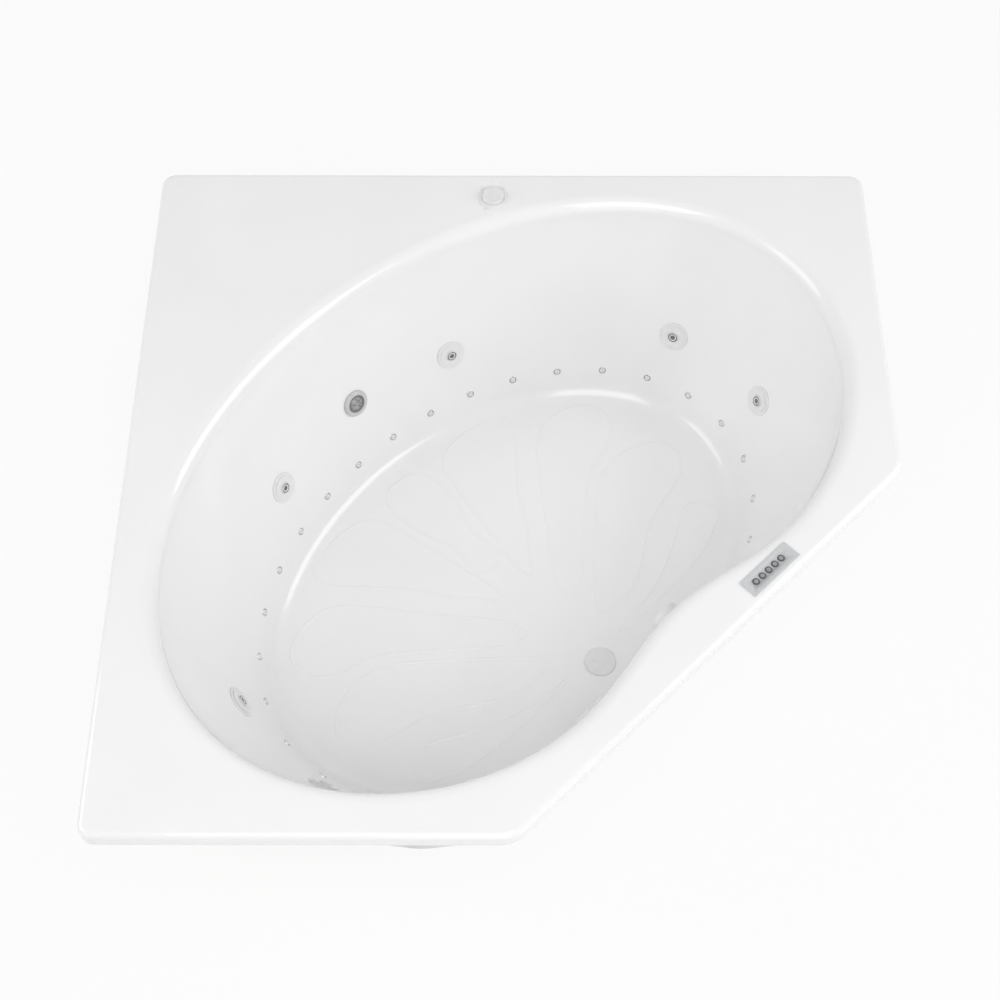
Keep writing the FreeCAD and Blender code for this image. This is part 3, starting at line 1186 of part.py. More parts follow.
write("air_control_body", put(air_control_body, CONTROL))
shell_cuts.append(put(rod(CONTROL_SHANK_RADIUS + SEAT_GAP, -CONTROL_LENGTH, OVERRUN), CONTROL))


# Control box under the deck's back corner, with one cable entry
BOX = frame_at(spot(0, BOX_V, HEIGHT - SHELL_WALL), UP, ALONG_U)
control_box = block(BOX_LENGTH, BOX_WIDTH, -BOX_HEIGHT, 0)
control_box = control_box.makeFillet(BOX_ROUND, control_box.Edges)
box_inside = block(BOX_LENGTH - BOX_WALL * 2, BOX_WIDTH - BOX_WALL * 2, BOX_WALL - BOX_HEIGHT, -BOX_WALL)
control_box = control_box.cut(box_inside)
entry = straight(Vector(0, ENTRY_OFFSET, -BOX_HEIGHT / 2), Vector(0, ENTRY_OFFSET, -BOX_HEIGHT - OVERRUN),
                 ENTRY_RADIUS)
write("control_box", put(control_box.cut(entry), BOX))


# Base board, runners and the battens inside the lip
def base_board():
    places = list(BOARD_CORNERS) + [(-u, v) for u, v in reversed(BOARD_CORNERS)]
    points = [spot(u, v, BOARD_TOP - BOARD_THICKNESS) for u, v in places]
    board = Part.Face(Part.makePolygon(points + points[:1])).extrude(UP * BOARD_THICKNESS)
    riser = Part.makeCylinder(SUCTION_RADIUS + BOARD_HOLE_GAP, BOARD_TOP, spot(SUCTION_U, PUMP_V, 0), UP)
    return board.cut([put(rod(SHOE_RADIUS + BOARD_HOLE_GAP, -SHOE_DEPTH, 0), DRAIN), riser])


def base_runner(u, front, back):
    runner = block(RUNNER_WIDTH, front - back, 0, BOARD_TOP - BOARD_THICKNESS)
    return put(runner, frame_at(spot(u, (front + back) / 2, 0), UP, ALONG_U))


def rim_batten(start, end):
    """One batten under the deck, along one straight of the lip."""
    first = Vector(start[0], start[1], HEIGHT - SHELL_WALL)
    along = Vector(end[0], end[1], HEIGHT - SHELL_WALL) - first
    length = along.Length - BATTEN_SHORT * 2
    along.normalize()
    place = frame_at(first, UP, along)
    return put(Part.makeBox(length, BATTEN_WIDTH, BATTEN_HEIGHT,
                            Vector(BATTEN_SHORT, SHELL_WALL, -BATTEN_HEIGHT)), place)


write("base_board", base_board())
write("base_runners", *[base_runner(u * side, front, back)
                        for u, front, back in RUNNERS for side in (1, -1)])
write("rim_battens", *[rim_batten(start, end)
                       for start, end in zip(DECK_CORNERS, DECK_CORNERS[1:] + DECK_CORNERS[:1])])
write("tub_shell", bare_shell().cut(shell_cuts))
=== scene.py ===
import json
import math

import bmesh
import bpy
from mathutils import Matrix, Vector

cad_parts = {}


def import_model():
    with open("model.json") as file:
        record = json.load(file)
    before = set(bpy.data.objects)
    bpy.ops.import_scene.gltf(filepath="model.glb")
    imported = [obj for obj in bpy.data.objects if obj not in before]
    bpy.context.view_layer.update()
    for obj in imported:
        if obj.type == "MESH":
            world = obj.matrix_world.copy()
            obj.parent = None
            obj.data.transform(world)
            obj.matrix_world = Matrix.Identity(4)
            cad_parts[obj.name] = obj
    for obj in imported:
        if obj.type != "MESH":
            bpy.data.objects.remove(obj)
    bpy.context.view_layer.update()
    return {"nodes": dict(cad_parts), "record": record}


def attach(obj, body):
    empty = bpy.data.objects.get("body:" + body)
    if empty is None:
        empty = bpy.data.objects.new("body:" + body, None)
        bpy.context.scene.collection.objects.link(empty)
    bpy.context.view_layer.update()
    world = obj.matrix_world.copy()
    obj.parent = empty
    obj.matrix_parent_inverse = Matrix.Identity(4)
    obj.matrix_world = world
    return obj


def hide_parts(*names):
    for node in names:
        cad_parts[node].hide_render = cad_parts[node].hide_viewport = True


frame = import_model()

# Lengths are in millimetres up to the point where a vertex is made
MM = 0.001
ROOT = "bath"
UP = Vector((0, 0, 1))
DIAGONAL_SHARE = math.sqrt(0.5)

# Shell: deck, lip and basin; u runs along the cut corner, v towards it
SIDE = 1524.0
HEIGHT = 584.0
LIP_HEIGHT = 36.0
LIP_ROUND = 12.0
LIP_FOOT_ROUND = 1.5
SQUARE_CORNER = 30.0
CUT_CORNER = 70.0
SHELL_WALL = 6.0
RIM_LENGTH = 810.0
RIM_WIDTH = 580.0
RIM_ROUND = 32.0
RIM_NOTCH = 126.0
NOTCH_WIDTH = 300.0
NOTCH_TAPER = 1.5
FLOOR_LENGTH = 550.0
FLOOR_WIDTH = 375.0
FLOOR_NOTCH = 62.0
FLOOR_ROUND = 50.0
FLOOR_DEPTH = 476.0
FLOOR_FALL = 14.0
FLOOR_WALL = 8.0
WALL_LEAN = math.radians(27.0)
LENGTH_BOW = 1.13
WIDTH_BOW = 1.5
DRAIN_V = 266.0
CREASE_V = 254.0
CREASE_ROUND = 16.0
CREASE_RISE = 0.045

# Mesh density of the shell
OUTLINE_STEP = 15.0
CORNER_STEPS = 10
EDGE_STEPS = 6
ROLL_STEPS = 12
WALL_STEPS = 40
FILLET_STEPS = 12
FLOOR_STEPS = 46
UNDER_STEPS = 4
DECK_SUPPORT = 4.0
SHARP_ANGLE = math.radians(38.0)
HALVINGS = 50
SEAT_TRIES = 6
NUDGE = 1e-4
LEVEL_LIMIT = 0.01
ON_AXIS = 1e-6

# Fittings
JET_ANGLES = (15.2, -15.2, -68.0, -112.0, -164.8, -195.2)
JET_DEPTH = 297.0
INJECTOR_DEPTH = 408.0
INJECTOR_PITCH = 105.8
INJECTORS_A_SIDE = 12
LIGHT_DEPTH = 277.0
OVERFLOW_DEPTH = 80.0
SUCTION_ANGLE = 102.0
SUCTION_DEPTH = 385.0
BACK_ANGLE = -90.0
FRONT_ANGLE = 90.0
KEYPAD_U = 178.5
KEYPAD_V = 501.8
KEYPAD_LENGTH = 129.0
KEYPAD_WIDTH = 41.0
BUTTONS = 5
BUTTON_MIDDLE = -3.2
BUTTON_PITCH = 17.9
CONTROL_U = 458.4
CONTROL_V = -518.7

# Holes in the shell for the fittings' bodies
WALL_CUT = 26.0
JET_HOLE = 23.3
INJECTOR_HOLE = 4.4
LIGHT_HOLE = 18.3
SUCTION_HOLE = 25.3
OVERFLOW_HOLE = 20.3
DRAIN_HOLE = 25.8
CONTROL_HOLE = 19.8
BUTTON_WELL = 8.4

# Turned profiles: radius, height above the seat, rounding of the corner
LARGE_STEPS = 96
MEDIUM_STEPS = 64
SMALL_STEPS = 40
TINY_STEPS = 24
CURVE_STEPS = 5
CORNER_SHARE = 0.48
ANGLE_STEP = 0.05
DRAIN_RECESS = 1.0
JET_FLANGE_PROFILE = ((19.0, -22.0, 0), (23.0, -22.0, 0), (23.0, -3.0, 0), (33.0, -3.0, 0), (33.0, 4.0, 1.6),
                      (25.5, 4.0, 0.7), (25.5, 1.0, 0), (19.0, 1.0, 0))
JET_FACE_PROFILE = ((12.4, -13.0, 0), (18.6, -13.0, 0), (18.6, 1.6, 0), (25.0, 1.6, 0), (25.0, 4.6, 0),
                    (26.4, 4.6, 0), (26.4, 5.1, 0.4), (23.0, 5.3, 0), (21.5, 5.3, 0), (20.0, 5.3, 0),
                    (18.5, 5.3, 0), (17.0, 5.3, 0), (15.5, 5.3, 0), (12.4, 5.3, 0.9))
JET_DENTS = 3
JET_DENT_REACH = 19.0
JET_DENT_RADIUS = 4.6
JET_DENT_DEPTH = 1.4
JET_DENT_FLOOR = 5.0
JET_NOZZLE_PROFILE = ((5.5, -10.0, 0), (10.9, -10.0, 0), (12.7, -6.6, 2.0), (13.5, -2.0, 3.0),
                      (12.9, 2.0, 2.0), (11.8, 4.5, 0), (10.5, 4.5, 0), (10.5, 8.7, 0.3),
                      (10.2, 9.0, 0.2), (10.0, 7.8, 0), (8.4, 7.8, 0), (8.1, 9.0, 0.4), (5.9, 9.0, 0.5),
                      (5.5, 7.8, 0))
# A near-black ring sunk in each nozzle's groove: painted shade for the dark of the groove
JET_GROOVE_SHADE_PROFILE = ((8.45, 7.4, 0), (9.95, 7.4, 0), (9.95, 8.5, 0), (8.45, 8.5, 0))
JET_THROAT_PROFILE = ((0, -9.0, 0), (5.4, -9.0, 0), (5.4, 7.4, 0), (4.9, 7.4, 0), (4.9, 6.4, 0),
                      (2.4, 6.4, 0), (2.4, 7.6, 0.6), (0, 7.8, 0))
INJECTOR_RING_PROFILE = ((6.6, -2.0, 0), (8.8, -2.0, 0), (8.8, 1.6, 1.0), (6.6, 1.6, 0.4))
# A near-black ring sunk in the gap between each injector's cap and chrome ring: painted shade in the gap
INJECTOR_SEAM_SHADE_PROFILE = ((5.9, -1.5, 0), (6.5, -1.5, 0), (6.5, 1.0, 0), (5.9, 1.0, 0))
INJECTOR_CAP_PROFILE = ((1.0, -2.0, 0), (5.8, -2.0, 0), (5.8, 1.7, 0.6), (4.0, 2.0, 0.8), (1.0, 2.0, 0.2))
# A near-black plug in each injector's air hole: painted shade for the depth of the hole
INJECTOR_PORE_SHADE_PROFILE = ((0, -1.8, 0), (0.96, -1.8, 0), (0.96, 1.3, 0), (0, 1.3, 0))
LIGHT_BEZEL_PROFILE = ((18.0, -3.0, 0), (30.5, -3.0, 0), (30.5, 4.6, 1.4), (27.0, 8.0, 2.4),
                       (22.0, 8.0, 1.2), (20.6, 6.6, 0.4), (18.0, 6.2, 0.4))
LIGHT_GASKET_PROFILE = ((15.2, -2.0, 0), (17.9, -2.0, 0), (17.9, 6.3, 0), (20.6, 6.7, 0), (20.4, 7.3, 0.2),
                        (17.0, 6.6, 0.5), (15.2, 4.8, 0.3))
LENS_BACK = -2.0
LENS_RADIUS = 15.1
LENS_TOP = 5.6
LENS_RISE = 0.8
LENS_RINGS = 10
LENS_PITCH = 3.6
LENS_RELIEF = 0.5
LENS_EDGE_HEIGHT = 4.5
DRAIN_FLANGE_PROFILE = ((22.0, -24.0, 0), (25.5, -24.0, 0), (25.5, -1.0, 0), (37.0, -1.0, 0),
                        (37.0, 2.5, 1.5), (31.0, 2.2, 1.0), (22.0, 0.4, 1.0))
STOPPER_PROFILE = ((0, -12.0, 0), (4.0, -12.0, 0), (4.0, 2.8, 0), (32.0, 2.8, 0), (32.0, 6.0, 1.7),
                   (24.0, 6.3, 4.0), (0, 6.3, 0))
OVERFLOW_PROFILE = ((0, -8.0, 0), (4.9, -8.0, 0), (4.9, 4.3, 0), (10.0, 4.3, 0), (10.0, 21.0, 0),
                    (28.0, 21.0, 0), (28.0, 4.3, 0.5), (31.0, 4.3, 0.5), (31.0, 24.0, 3.2),
                    (22.0, 24.0, 3.0), (0, 23.4, 0))
OVERFLOW_RADIUS = 31.0
OVERFLOW_SLOT = 13.0
OVERFLOW_SLOT_REACH = 12.0
OVERFLOW_SLOT_HEIGHT = 13.0
COLLAR_PROFILE = ((10.0, 0, 0), (32.0, 0, 0), (32.0, 2.2, 1.2), (27.0, 5.0, 2.0), (24.4, 5.0, 0.5),
                  (24.4, 2.0, 0), (10.0, 2.0, 0))
KNOB_PROFILE = ((0, -20.0, 0), (4.9, -20.0, 0), (4.9, 2.3, 0), (24.0, 2.3, 0.3), (24.0, 4.5, 0),
                (24.0, 7.0, 0), (24.0, 11.0, 2.6), (19.5, 11.0, 0), (18.0, 11.0, 0), (13.0, 10.4, 6.0),
                (0, 10.2, 0))
KNOB_SCALLOPS = 6
KNOB_SCALLOP_DEPTH = 2.2
KNOB_SCALLOP_LOW = 4.0
KNOB_SCALLOP_TOP = 11.0
KNOB_DISH = 13.0
KNOB_BLEND = 8.0
KNOB_STEPS = 144
BUTTON_PROFILE = ((0, -1.1, 0), (8.0, -1.1, 0), (8.0, -0.3, 0), (6.75, -0.3, 0), (6.75, 4.0, 1.1),
                  (4.6, 4.0, 0.6), (3.9, 3.5, 0.4), (0, 3.4, 0))
BUTTON_DOT_PROFILE = ((0, 2.9, 0), (4.4, 2.9, 0), (4.4, 3.9, 0.2), (0, 3.95, 0))
COVER_PROFILE = ((50.0, -2.0), (50.0, 4.0), (50.0, 9.0), (49.4, 15.0), (47.6, 21.0), (44.0, 27.0),
                 (39.0, 31.0), (33.0, 33.4), (26.0, 34.6), (18.0, 35.0), (10.0, 35.0))
COVER_STEPS = 180
COVER_SLOTS = 12
COVER_SLOT_SHARE = 0.34
COVER_SLOT_FIRST = 1
COVER_SLOT_LAST = 4
COVER_WALL = 3.0
KEYPAD_HEIGHT = 2.5
KEYPAD_CORNER = 1.5
KEYPAD_EDGE = 0.6
KEYPAD_HOLE = 7.05

# Anti-slip ribs on the floor: outlines (u, v) of the middle leaf and of the leaves on one side
RIB_WIDTH = 6.0
RIB_HEIGHT = 0.9
RIB_SINK = 1.5
RIB_STEP = 7.0
RIB_PROFILE_STEPS = 8
RIB_CURVE_PARTS = 16
RIB_FOOT_SHARES = (0.8, 0.2)
MIDDLE_LEAF = ((0, -58), (22, -62), (38, -80), (32, -130), (30, -165), (44, -198), (56, -240), (62, -290),
               (57, -335), (30, -360), (0, -362))
SIDE_LEAVES = (
    ((45, 12), (85, -34), (130, -85), (168, -145), (232, -215), (285, -272), (297, -302), (285, -328),
     (250, -342), (190, -352), (130, -343), (97, -315), (84, -265), (66, -180), (50, -100), (36, -30)),
    ((62, 103), (85, 108), (112, 100), (200, 25), (285, -46), (335, -80), (385, -94), (425, -108),
     (458, -138), (469, -172), (460, -205), (430, -228), (380, -240), (320, -232), (262, -176),
     (185, -80), (112, 8), (72, 62)),
    ((84, 178), (125, 196), (190, 186), (258, 150), (322, 110), (375, 92), (425, 82), (475, 66),
     (503, 42), (512, 10), (500, -20), (465, -48), (405, -62), (352, -56), (305, -30), (245, 20),
     (168, 88), (104, 148)),
    ((80, 240), (120, 235), (200, 225), (300, 190), (380, 150), (430, 135), (455, 165), (458, 185),
     (440, 205), (370, 235), (300, 246), (220, 250), (150, 248), (95, 246)),
)

# Camera of the photograph
FOCAL_MM = 63.271
SENSOR_MM = 36.0
CAMERA_PLACE = Vector((-0.0314, -1.86075, 3.46882))
CAMERA_PITCH = math.radians(58.2516)
CAMERA_YAW = math.radians(0.1359)
CAMERA_ROLL = math.radians(-0.2053)
CAMERA_FAR = 50.0

# Studio: name, place, size and power of each soft lamp, in metres and watts
LAMPS = (("right", (3.2, -0.2, 2.2), 2.4, 44.0), ("left", (-3.2, -0.2, 2.2), 2.4, 33.0),
         ("front", (0.0, -2.4, 3.4), 2.4, 42.0), ("back", (0.0, 3.2, 2.2), 2.4, 5.0),
         ("low", (0.4, -3.2, 0.9), 1.6, 8.0))
LAMP_AIM = Vector((0, 0, 0.4))
WORLD_LIGHT = 0.48
GROUND_HALF = 6.0
GROUND_GLOW_SHARE = 0.88
GROUND_COLOUR = (0.85, 0.85, 0.85, 1)
GROUND_ROUGHNESS = 0.9

# Noise in the materials
NOISE_DETAIL = 4.0
RAMP_ENDS = (0.35, 0.65)
COAT_ROUGHNESS = 0.05
BUMP_FINENESS = 6
BUMP_DEPTH = 0.0005


def spot(u, v, z):
    """A point in metres from a place along the cut, a place towards it and a height."""
    return Vector(((u + v) * DIAGONAL_SHARE, (u - v) * DIAGONAL_SHARE, z)) * MM


def oval(half_length, half_width, notch, angle):
    """A point (u, v) of the basin's outline: an ellipse, drawn in at the front by the notch."""
    u = half_length * math.cos(angle)
    v = half_width * math.sin(angle)
    if v > 0:
        taper = (1 - math.cos(angle) ** 2) ** NOTCH_TAPER
        v -= notch * taper / (1 + (u / NOTCH_WIDTH) ** 2)
    return u, v


def floor_rise(v):
    """How far the floor stands above its level at the drain, at the place v."""
    return FLOOR_FALL * (DRAIN_V - v) / (DRAIN_V + FLOOR_WIDTH)


WALL_TOP = RIM_ROUND
WALL_FOOT = FLOOR_DEPTH - FLOOR_ROUND * (1 - math.sin(WALL_LEAN))
FOOT_REACH = FLOOR_ROUND * math.cos(WALL_LEAN)


def wall_level(share, outset=0.0):
    """Half length, half width, notch and depth of the wall, from its top (0) to its foot (1)."""
    top_length = RIM_LENGTH - RIM_ROUND
    top_width = RIM_WIDTH - RIM_ROUND
    lean = WALL_LEAN * share
    out = outset * math.cos(lean)
    length = top_length + (FLOOR_LENGTH + FOOT_REACH - top_length) * share ** LENGTH_BOW
    width = top_width + (FLOOR_WIDTH + FOOT_REACH - top_width) * share ** WIDTH_BOW
    notch = RIM_NOTCH + (FLOOR_NOTCH - RIM_NOTCH) * share
    depth = WALL_TOP + (WALL_FOOT - WALL_TOP) * share
    return length + out, width + out, notch, depth + outset * math.sin(lean)


def basin_levels(outset, floor_extra, floor_tilt):
    """Levels (length, width, notch, depth, tilt) over the roll, down the wall and round the fillet."""
    levels = []
    for step in range(ROLL_STEPS):
        turn = math.pi / 2 * step / ROLL_STEPS
        reach = (RIM_ROUND - outset) * math.sin(turn)
        depth = RIM_ROUND - (RIM_ROUND - outset) * math.cos(turn)
        levels.append((RIM_LENGTH - reach, RIM_WIDTH - reach, RIM_NOTCH, depth, 0.0))
    for step in range(WALL_STEPS + 1):
        share = step / WALL_STEPS
        levels.append(wall_level(share, outset) + (share,))
    radius = FLOOR_ROUND + outset
    for step in range(1, FILLET_STEPS + 1):
        share = step / FILLET_STEPS
        turn = (math.pi / 2 - WALL_LEAN) * (1 - share)
        reach = radius * math.sin(turn)
        depth = FLOOR_DEPTH - FLOOR_ROUND + radius * math.cos(turn) + (floor_extra - outset) * share
        tilt = 1 + (floor_tilt - 1) * share
        levels.append((FLOOR_LENGTH + reach, FLOOR_WIDTH + reach, FLOOR_NOTCH, depth, tilt))
    return levels


def deck_outline():
    """Points (x, y) of the deck's edge with their outward directions, anticlockwise."""
    half = SIDE / 2
    corners = [Vector(c) for c in ((-half, -half), (0, -half), (half, 0), (half, half), (-half, half))]
    radii = (SQUARE_CORNER, CUT_CORNER, CUT_CORNER, SQUARE_CORNER, SQUARE_CORNER)
    arcs = []
    for index, corner in enumerate(corners):
        arrive = (corner - corners[index - 1]).normalized()
        leave = (corners[(index + 1) % len(corners)] - corner).normalized()
        first = math.atan2(-arrive.x, arrive.y)
        swing = arrive.angle(leave)
        centre = corner - arrive * radii[index] * math.tan(swing / 2)
        centre += Vector((-arrive.y, arrive.x)) * radii[index]
        arc = []
        for step in range(CORNER_STEPS + 1):
            angle = first + swing * step / CORNER_STEPS
            outward = Vector((math.cos(angle), math.sin(angle)))
            arc.append((centre + outward * radii[index], outward))
        arcs.append(arc)
    points = []
    for index, arc in enumerate(arcs):
        points += arc
        start, outward = arc[-1]
        end = arcs[(index + 1) % len(arcs)][0][0]
        count = round((end - start).length / OUTLINE_STEP)
        points += [(start.lerp(end, step / count), outward) for step in range(1, count)]
    return points


def oval_angle(u, v):
    """The oval's own angle for the direction from its middle to (u, v)."""
    low = 0.0 if v >= 0 else -math.pi
    high = low + math.pi
    wanted = math.atan2(v, u)
    for _ in range(HALVINGS):
        middle = (low + high) / 2
        rim_u, rim_v = oval(RIM_LENGTH, RIM_WIDTH, RIM_NOTCH, middle)
        if math.atan2(rim_v, rim_u) < wanted:
            low = middle
        else:
            high = middle
    return (low + high) / 2


def floor_height(v):
    """Height of the floor's surface: it falls to a soft crease at the drain and rises a little in front."""
    fall = FLOOR_FALL / (DRAIN_V + FLOOR_WIDTH)
    past = v - CREASE_V
    bend = (past + math.sqrt(past * past + CREASE_ROUND * CREASE_ROUND)) / 2
    return HEIGHT - FLOOR_DEPTH + floor_rise(v) + bend * (fall + CREASE_RISE)


def new_object(name, bm, material):
    """A finished mesh piece with smooth shading up to its sharp edges."""
    mesh = bpy.data.meshes.new(name)
    bm.normal_update()
    bm.to_mesh(mesh)
    bm.free()
    for polygon in mesh.polygons:
        polygon.use_smooth = True
    mesh.set_sharp_from_angle(angle=SHARP_ANGLE)
    obj = bpy.data.objects.new(name, mesh)
    bpy.context.scene.collection.objects.link(obj)
    obj.data.materials.append(material)
    return obj


# Materials: every one is made of nodes, with its own variation of colour, roughness and surface
def material(name, dark, light, rough, scale, bump=0.0, metal=0.0, coat=0.0, stretch=(1, 1, 1)):
    """A procedural material: noise mixes two colours and two roughnesses, a finer noise makes the bump."""
    made = bpy.data.materials.new(name)
    made.use_nodes = True
    nodes = made.node_tree.nodes
    links = made.node_tree.links
    shader = nodes["Principled BSDF"]
    place = nodes.new("ShaderNodeTexCoord")
    mapping = nodes.new("ShaderNodeMapping")
    mapping.inputs["Scale"].default_value = stretch
    links.new(place.outputs["Object"], mapping.inputs["Vector"])
    noise = nodes.new("ShaderNodeTexNoise")
    noise.inputs["Scale"].default_value = scale
    noise.inputs["Detail"].default_value = NOISE_DETAIL
    links.new(mapping.outputs["Vector"], noise.inputs["Vector"])
    ramp = nodes.new("ShaderNodeValToRGB")
    for element, position, colour in zip(ramp.color_ramp.elements, RAMP_ENDS, (dark, light)):
        element.position = position
        element.color = (*colour, 1)
    links.new(noise.outputs["Fac"], ramp.inputs["Fac"])
    links.new(ramp.outputs["Color"], shader.inputs["Base Color"])
    spread = nodes.new("ShaderNodeMapRange")
    spread.inputs["To Min"].default_value = rough[0]
    spread.inputs["To Max"].default_value = rough[1]
    links.new(noise.outputs["Fac"], spread.inputs["Value"])
    links.new(spread.outputs["Result"], shader.inputs["Roughness"])
    shader.inputs["Metallic"].default_value = metal
    shader.inputs["Coat Weight"].default_value = coat
    shader.inputs["Coat Roughness"].default_value = COAT_ROUGHNESS
    if bump:
        fine = nodes.new("ShaderNodeTexNoise")
        fine.inputs["Scale"].default_value = scale * BUMP_FINENESS
        links.new(mapping.outputs["Vector"], fine.inputs["Vector"])
        relief = nodes.new("ShaderNodeBump")
        relief.inputs["Strength"].default_value = bump
        relief.inputs["Distance"].default_value = BUMP_DEPTH
        links.new(fine.outputs["Fac"], relief.inputs["Height"])
        links.new(relief.outputs["Normal"], shader.inputs["Normal"])
    return made


def grey(level, tint=0.0):
    """A grey, a little bluish with a tint above zero and a little warm below it."""
    return (level * (1 - tint), level, level * (1 + tint))


FINISHES = {
    "acrylic": material("acrylic", grey(0.895), grey(0.91), (0.10, 0.16), 5, 0.02, coat=0.5),
    "trim": material("trim", grey(0.80), grey(0.83), (0.24, 0.34), 60, 0.06, coat=0.1),
    "chrome": material("chrome", grey(0.72, 0.01), grey(0.80, 0.01), (0.08, 0.16), 40, 0.02, metal=1.0),
    "silver": material("silver", grey(0.57, 0.02), grey(0.61, 0.02), (0.50, 0.60), 220, 0.1,
                       stretch=(1, 1, 0.2)),
    "button": material("button", grey(0.07, 0.04), grey(0.10, 0.04), (0.3, 0.42), 300, 0.1),
    "button_face": material("button_face", grey(0.28, 0.03), grey(0.34, 0.03), (0.45, 0.55), 300, 0.1),
    "bezel": material("bezel", grey(0.56), grey(0.62), (0.34, 0.44), 90, 0.08),
    "lens": material("lens", grey(0.22, 0.01), grey(0.44, 0.01), (0.2, 0.35), 160, 0.5, coat=0.2),
    "pvc": material("pvc", grey(0.68, -0.01), grey(0.76, -0.01), (0.26, 0.4), 30, 0.05),
    "hose": material("hose", grey(0.50, 0.02), grey(0.60, 0.02), (0.3, 0.45), 50, 0.08),
    "grey_plastic": material("grey_plastic", grey(0.17), grey(0.21), (0.45, 0.6), 90, 0.2),
    # dark_plastic is the real colour of hidden parts, and also painted shade in the nozzle grooves, the
    # injectors' gaps and their air holes
    "dark_plastic": material("dark_plastic", grey(0.010), grey(0.022), (0.4, 0.6), 120, 0.25),
    "motor_paint": material("motor_paint", grey(0.018, 0.05), grey(0.03, 0.05), (0.3, 0.45), 70, 0.2,
                            coat=0.2),
    "steel": material("steel", grey(0.40), grey(0.55), (0.25, 0.42), 160, 0.15, metal=1.0,
                      stretch=(1, 0.1, 1)),
    "plywood": material("plywood", (0.42, 0.27, 0.14), (0.56, 0.39, 0.22), (0.55, 0.75), 7, 0.4,
                        stretch=(1, 7, 30)),
    "timber": material("timber", (0.48, 0.30, 0.15), (0.63, 0.44, 0.25), (0.5, 0.7), 9, 0.4,
                       stretch=(1, 1, 8)),
}


def place_piece(obj, body, finish, *nodes):
    """A piece joins its body and stands for its nodes, which are hidden; the finish is not used."""
    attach(obj, body)
    if nodes:
        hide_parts(*nodes)
    return obj


def bridge(bm, lower, upper):
    """A band of faces between two rings, or a fan where one of them is a single vertex."""
    count = max(len(lower), len(upper))
    faces = []
    for index in range(count):
        after = (index + 1) % count
        if len(lower) == 1:
            corners = (lower[0], upper[after], upper[index])
        elif len(upper) == 1:
            corners = (lower[index], lower[after], upper[0])
        else:
            corners = (lower[index], lower[after], upper[after], upper[index])
        faces.append(bm.faces.new(corners))
    return faces


OUTLINE = deck_outline()
ANGLES = []
for point, _ in OUTLINE:
    ANGLES.append(oval_angle((point.x + point.y) * DIAGONAL_SHARE, (point.x - point.y) * DIAGONAL_SHARE))


def front_rise(v):
    """How far the strip in front of the crease stands above the floor's own fall."""
    return floor_height(v) - (HEIGHT - FLOOR_DEPTH + floor_rise(v))


def basin_ring(level, strip):
    """One ring of the basin; strip says how far it follows the strip in front of the crease."""
    length, width, notch, depth, tilt = level
    ring = []
    for angle in ANGLES:
        u, v = oval(length, width, notch, angle)
        limit = min(v, FLOOR_WIDTH - FLOOR_NOTCH)
        ring.append(spot(u, v, HEIGHT - depth + tilt * floor_rise(v) + strip * front_rise(limit)))
    return ring


def deck_ring(inset, drop):
    """One ring along the deck's edge, some way in from it and below the top."""
    ring = []
    for point, outward in OUTLINE:
        flat = (point - outward * inset) * MM
        ring.append(Vector((flat.x, flat.y, (HEIGHT - drop) * MM)))
    return ring


def between(first, second, share):
    return [a.lerp(b, share) for a, b in zip(first, second)]


def shell_rings():
    """Rings from the middle of the underside, out round the lip and in to the middle of the floor."""
    under = [basin_ring(level, 0) for level in reversed(basin_levels(SHELL_WALL, FLOOR_WALL, 0))]
    middle = [Vector((0, 0, under[0][0].z))] * len(OUTLINE)
    rings = [[middle[0]]]
    rings += [between(middle, under[0], step / UNDER_STEPS) for step in range(1, UNDER_STEPS)]
    rings += under
    rings.append(deck_ring(SHELL_WALL, SHELL_WALL))
    rings.append(deck_ring(SHELL_WALL, LIP_HEIGHT))
    rings.append(deck_ring(LIP_FOOT_ROUND, LIP_HEIGHT))
    rings.append(deck_ring(0, LIP_HEIGHT - LIP_FOOT_ROUND))
    for step in range(EDGE_STEPS + 1):
        turn = math.pi / 2 * step / EDGE_STEPS
        rings.append(deck_ring(LIP_ROUND * (1 - math.cos(turn)), LIP_ROUND * (1 - math.sin(turn))))
    rings.append(deck_ring(LIP_ROUND + DECK_SUPPORT, 0))
    levels = basin_levels(0, 0, 1)
    wide = levels[0]
    rings.append(basin_ring((wide[0] + DECK_SUPPORT, wide[1] + DECK_SUPPORT) + wide[2:], 0))
    for level in levels:
        strip = max(0, (level[3] - WALL_FOOT) / (FLOOR_DEPTH - WALL_FOOT))
        rings.append(basin_ring(level, strip * strip))
    edge = [oval(FLOOR_LENGTH, FLOOR_WIDTH, FLOOR_NOTCH, angle) for angle in ANGLES]
    for step in range(1, FLOOR_STEPS):
        share = 1 - step / FLOOR_STEPS
        rings.append([spot(u * share, v * share, floor_height(v * share)) for u, v in edge])
    rings.append([spot(0, 0, floor_height(0))])
    return rings


def shell_mesh():
    bm = bmesh.new()
    rings = [[bm.verts.new(point) for point in ring] for ring in shell_rings()]
    for lower, upper in zip(rings, rings[1:]):
        bridge(bm, lower, upper)
    bmesh.ops.recalc_face_normals(bm, faces=bm.faces)
    return bm


shell = new_object("shell", shell_mesh(), FINISHES["acrylic"])
place_piece(shell, ROOT, "acrylic", "tub_shell")


# Fittings on the walls and on the deck
def seat_at(point, normal):
    """A placement in metres: local Z along the normal, local Y as far up as it goes."""
    across = UP.cross(normal)
    if across.length > LEVEL_LIMIT:
        across.normalize()
    else:
        across = Vector((DIAGONAL_SHARE, DIAGONAL_SHARE, 0))
    turn = Matrix((across, normal.cross(across), normal)).transposed().to_4x4()
    return Matrix.Translation(point) @ turn


def wall_point(angle, share):
    """A point of the inner wall, in metres."""
    length, width, notch, depth = wall_level(share)
    u, v = oval(length, width, notch, angle)
    return spot(u, v, HEIGHT - depth + share * floor_rise(v))


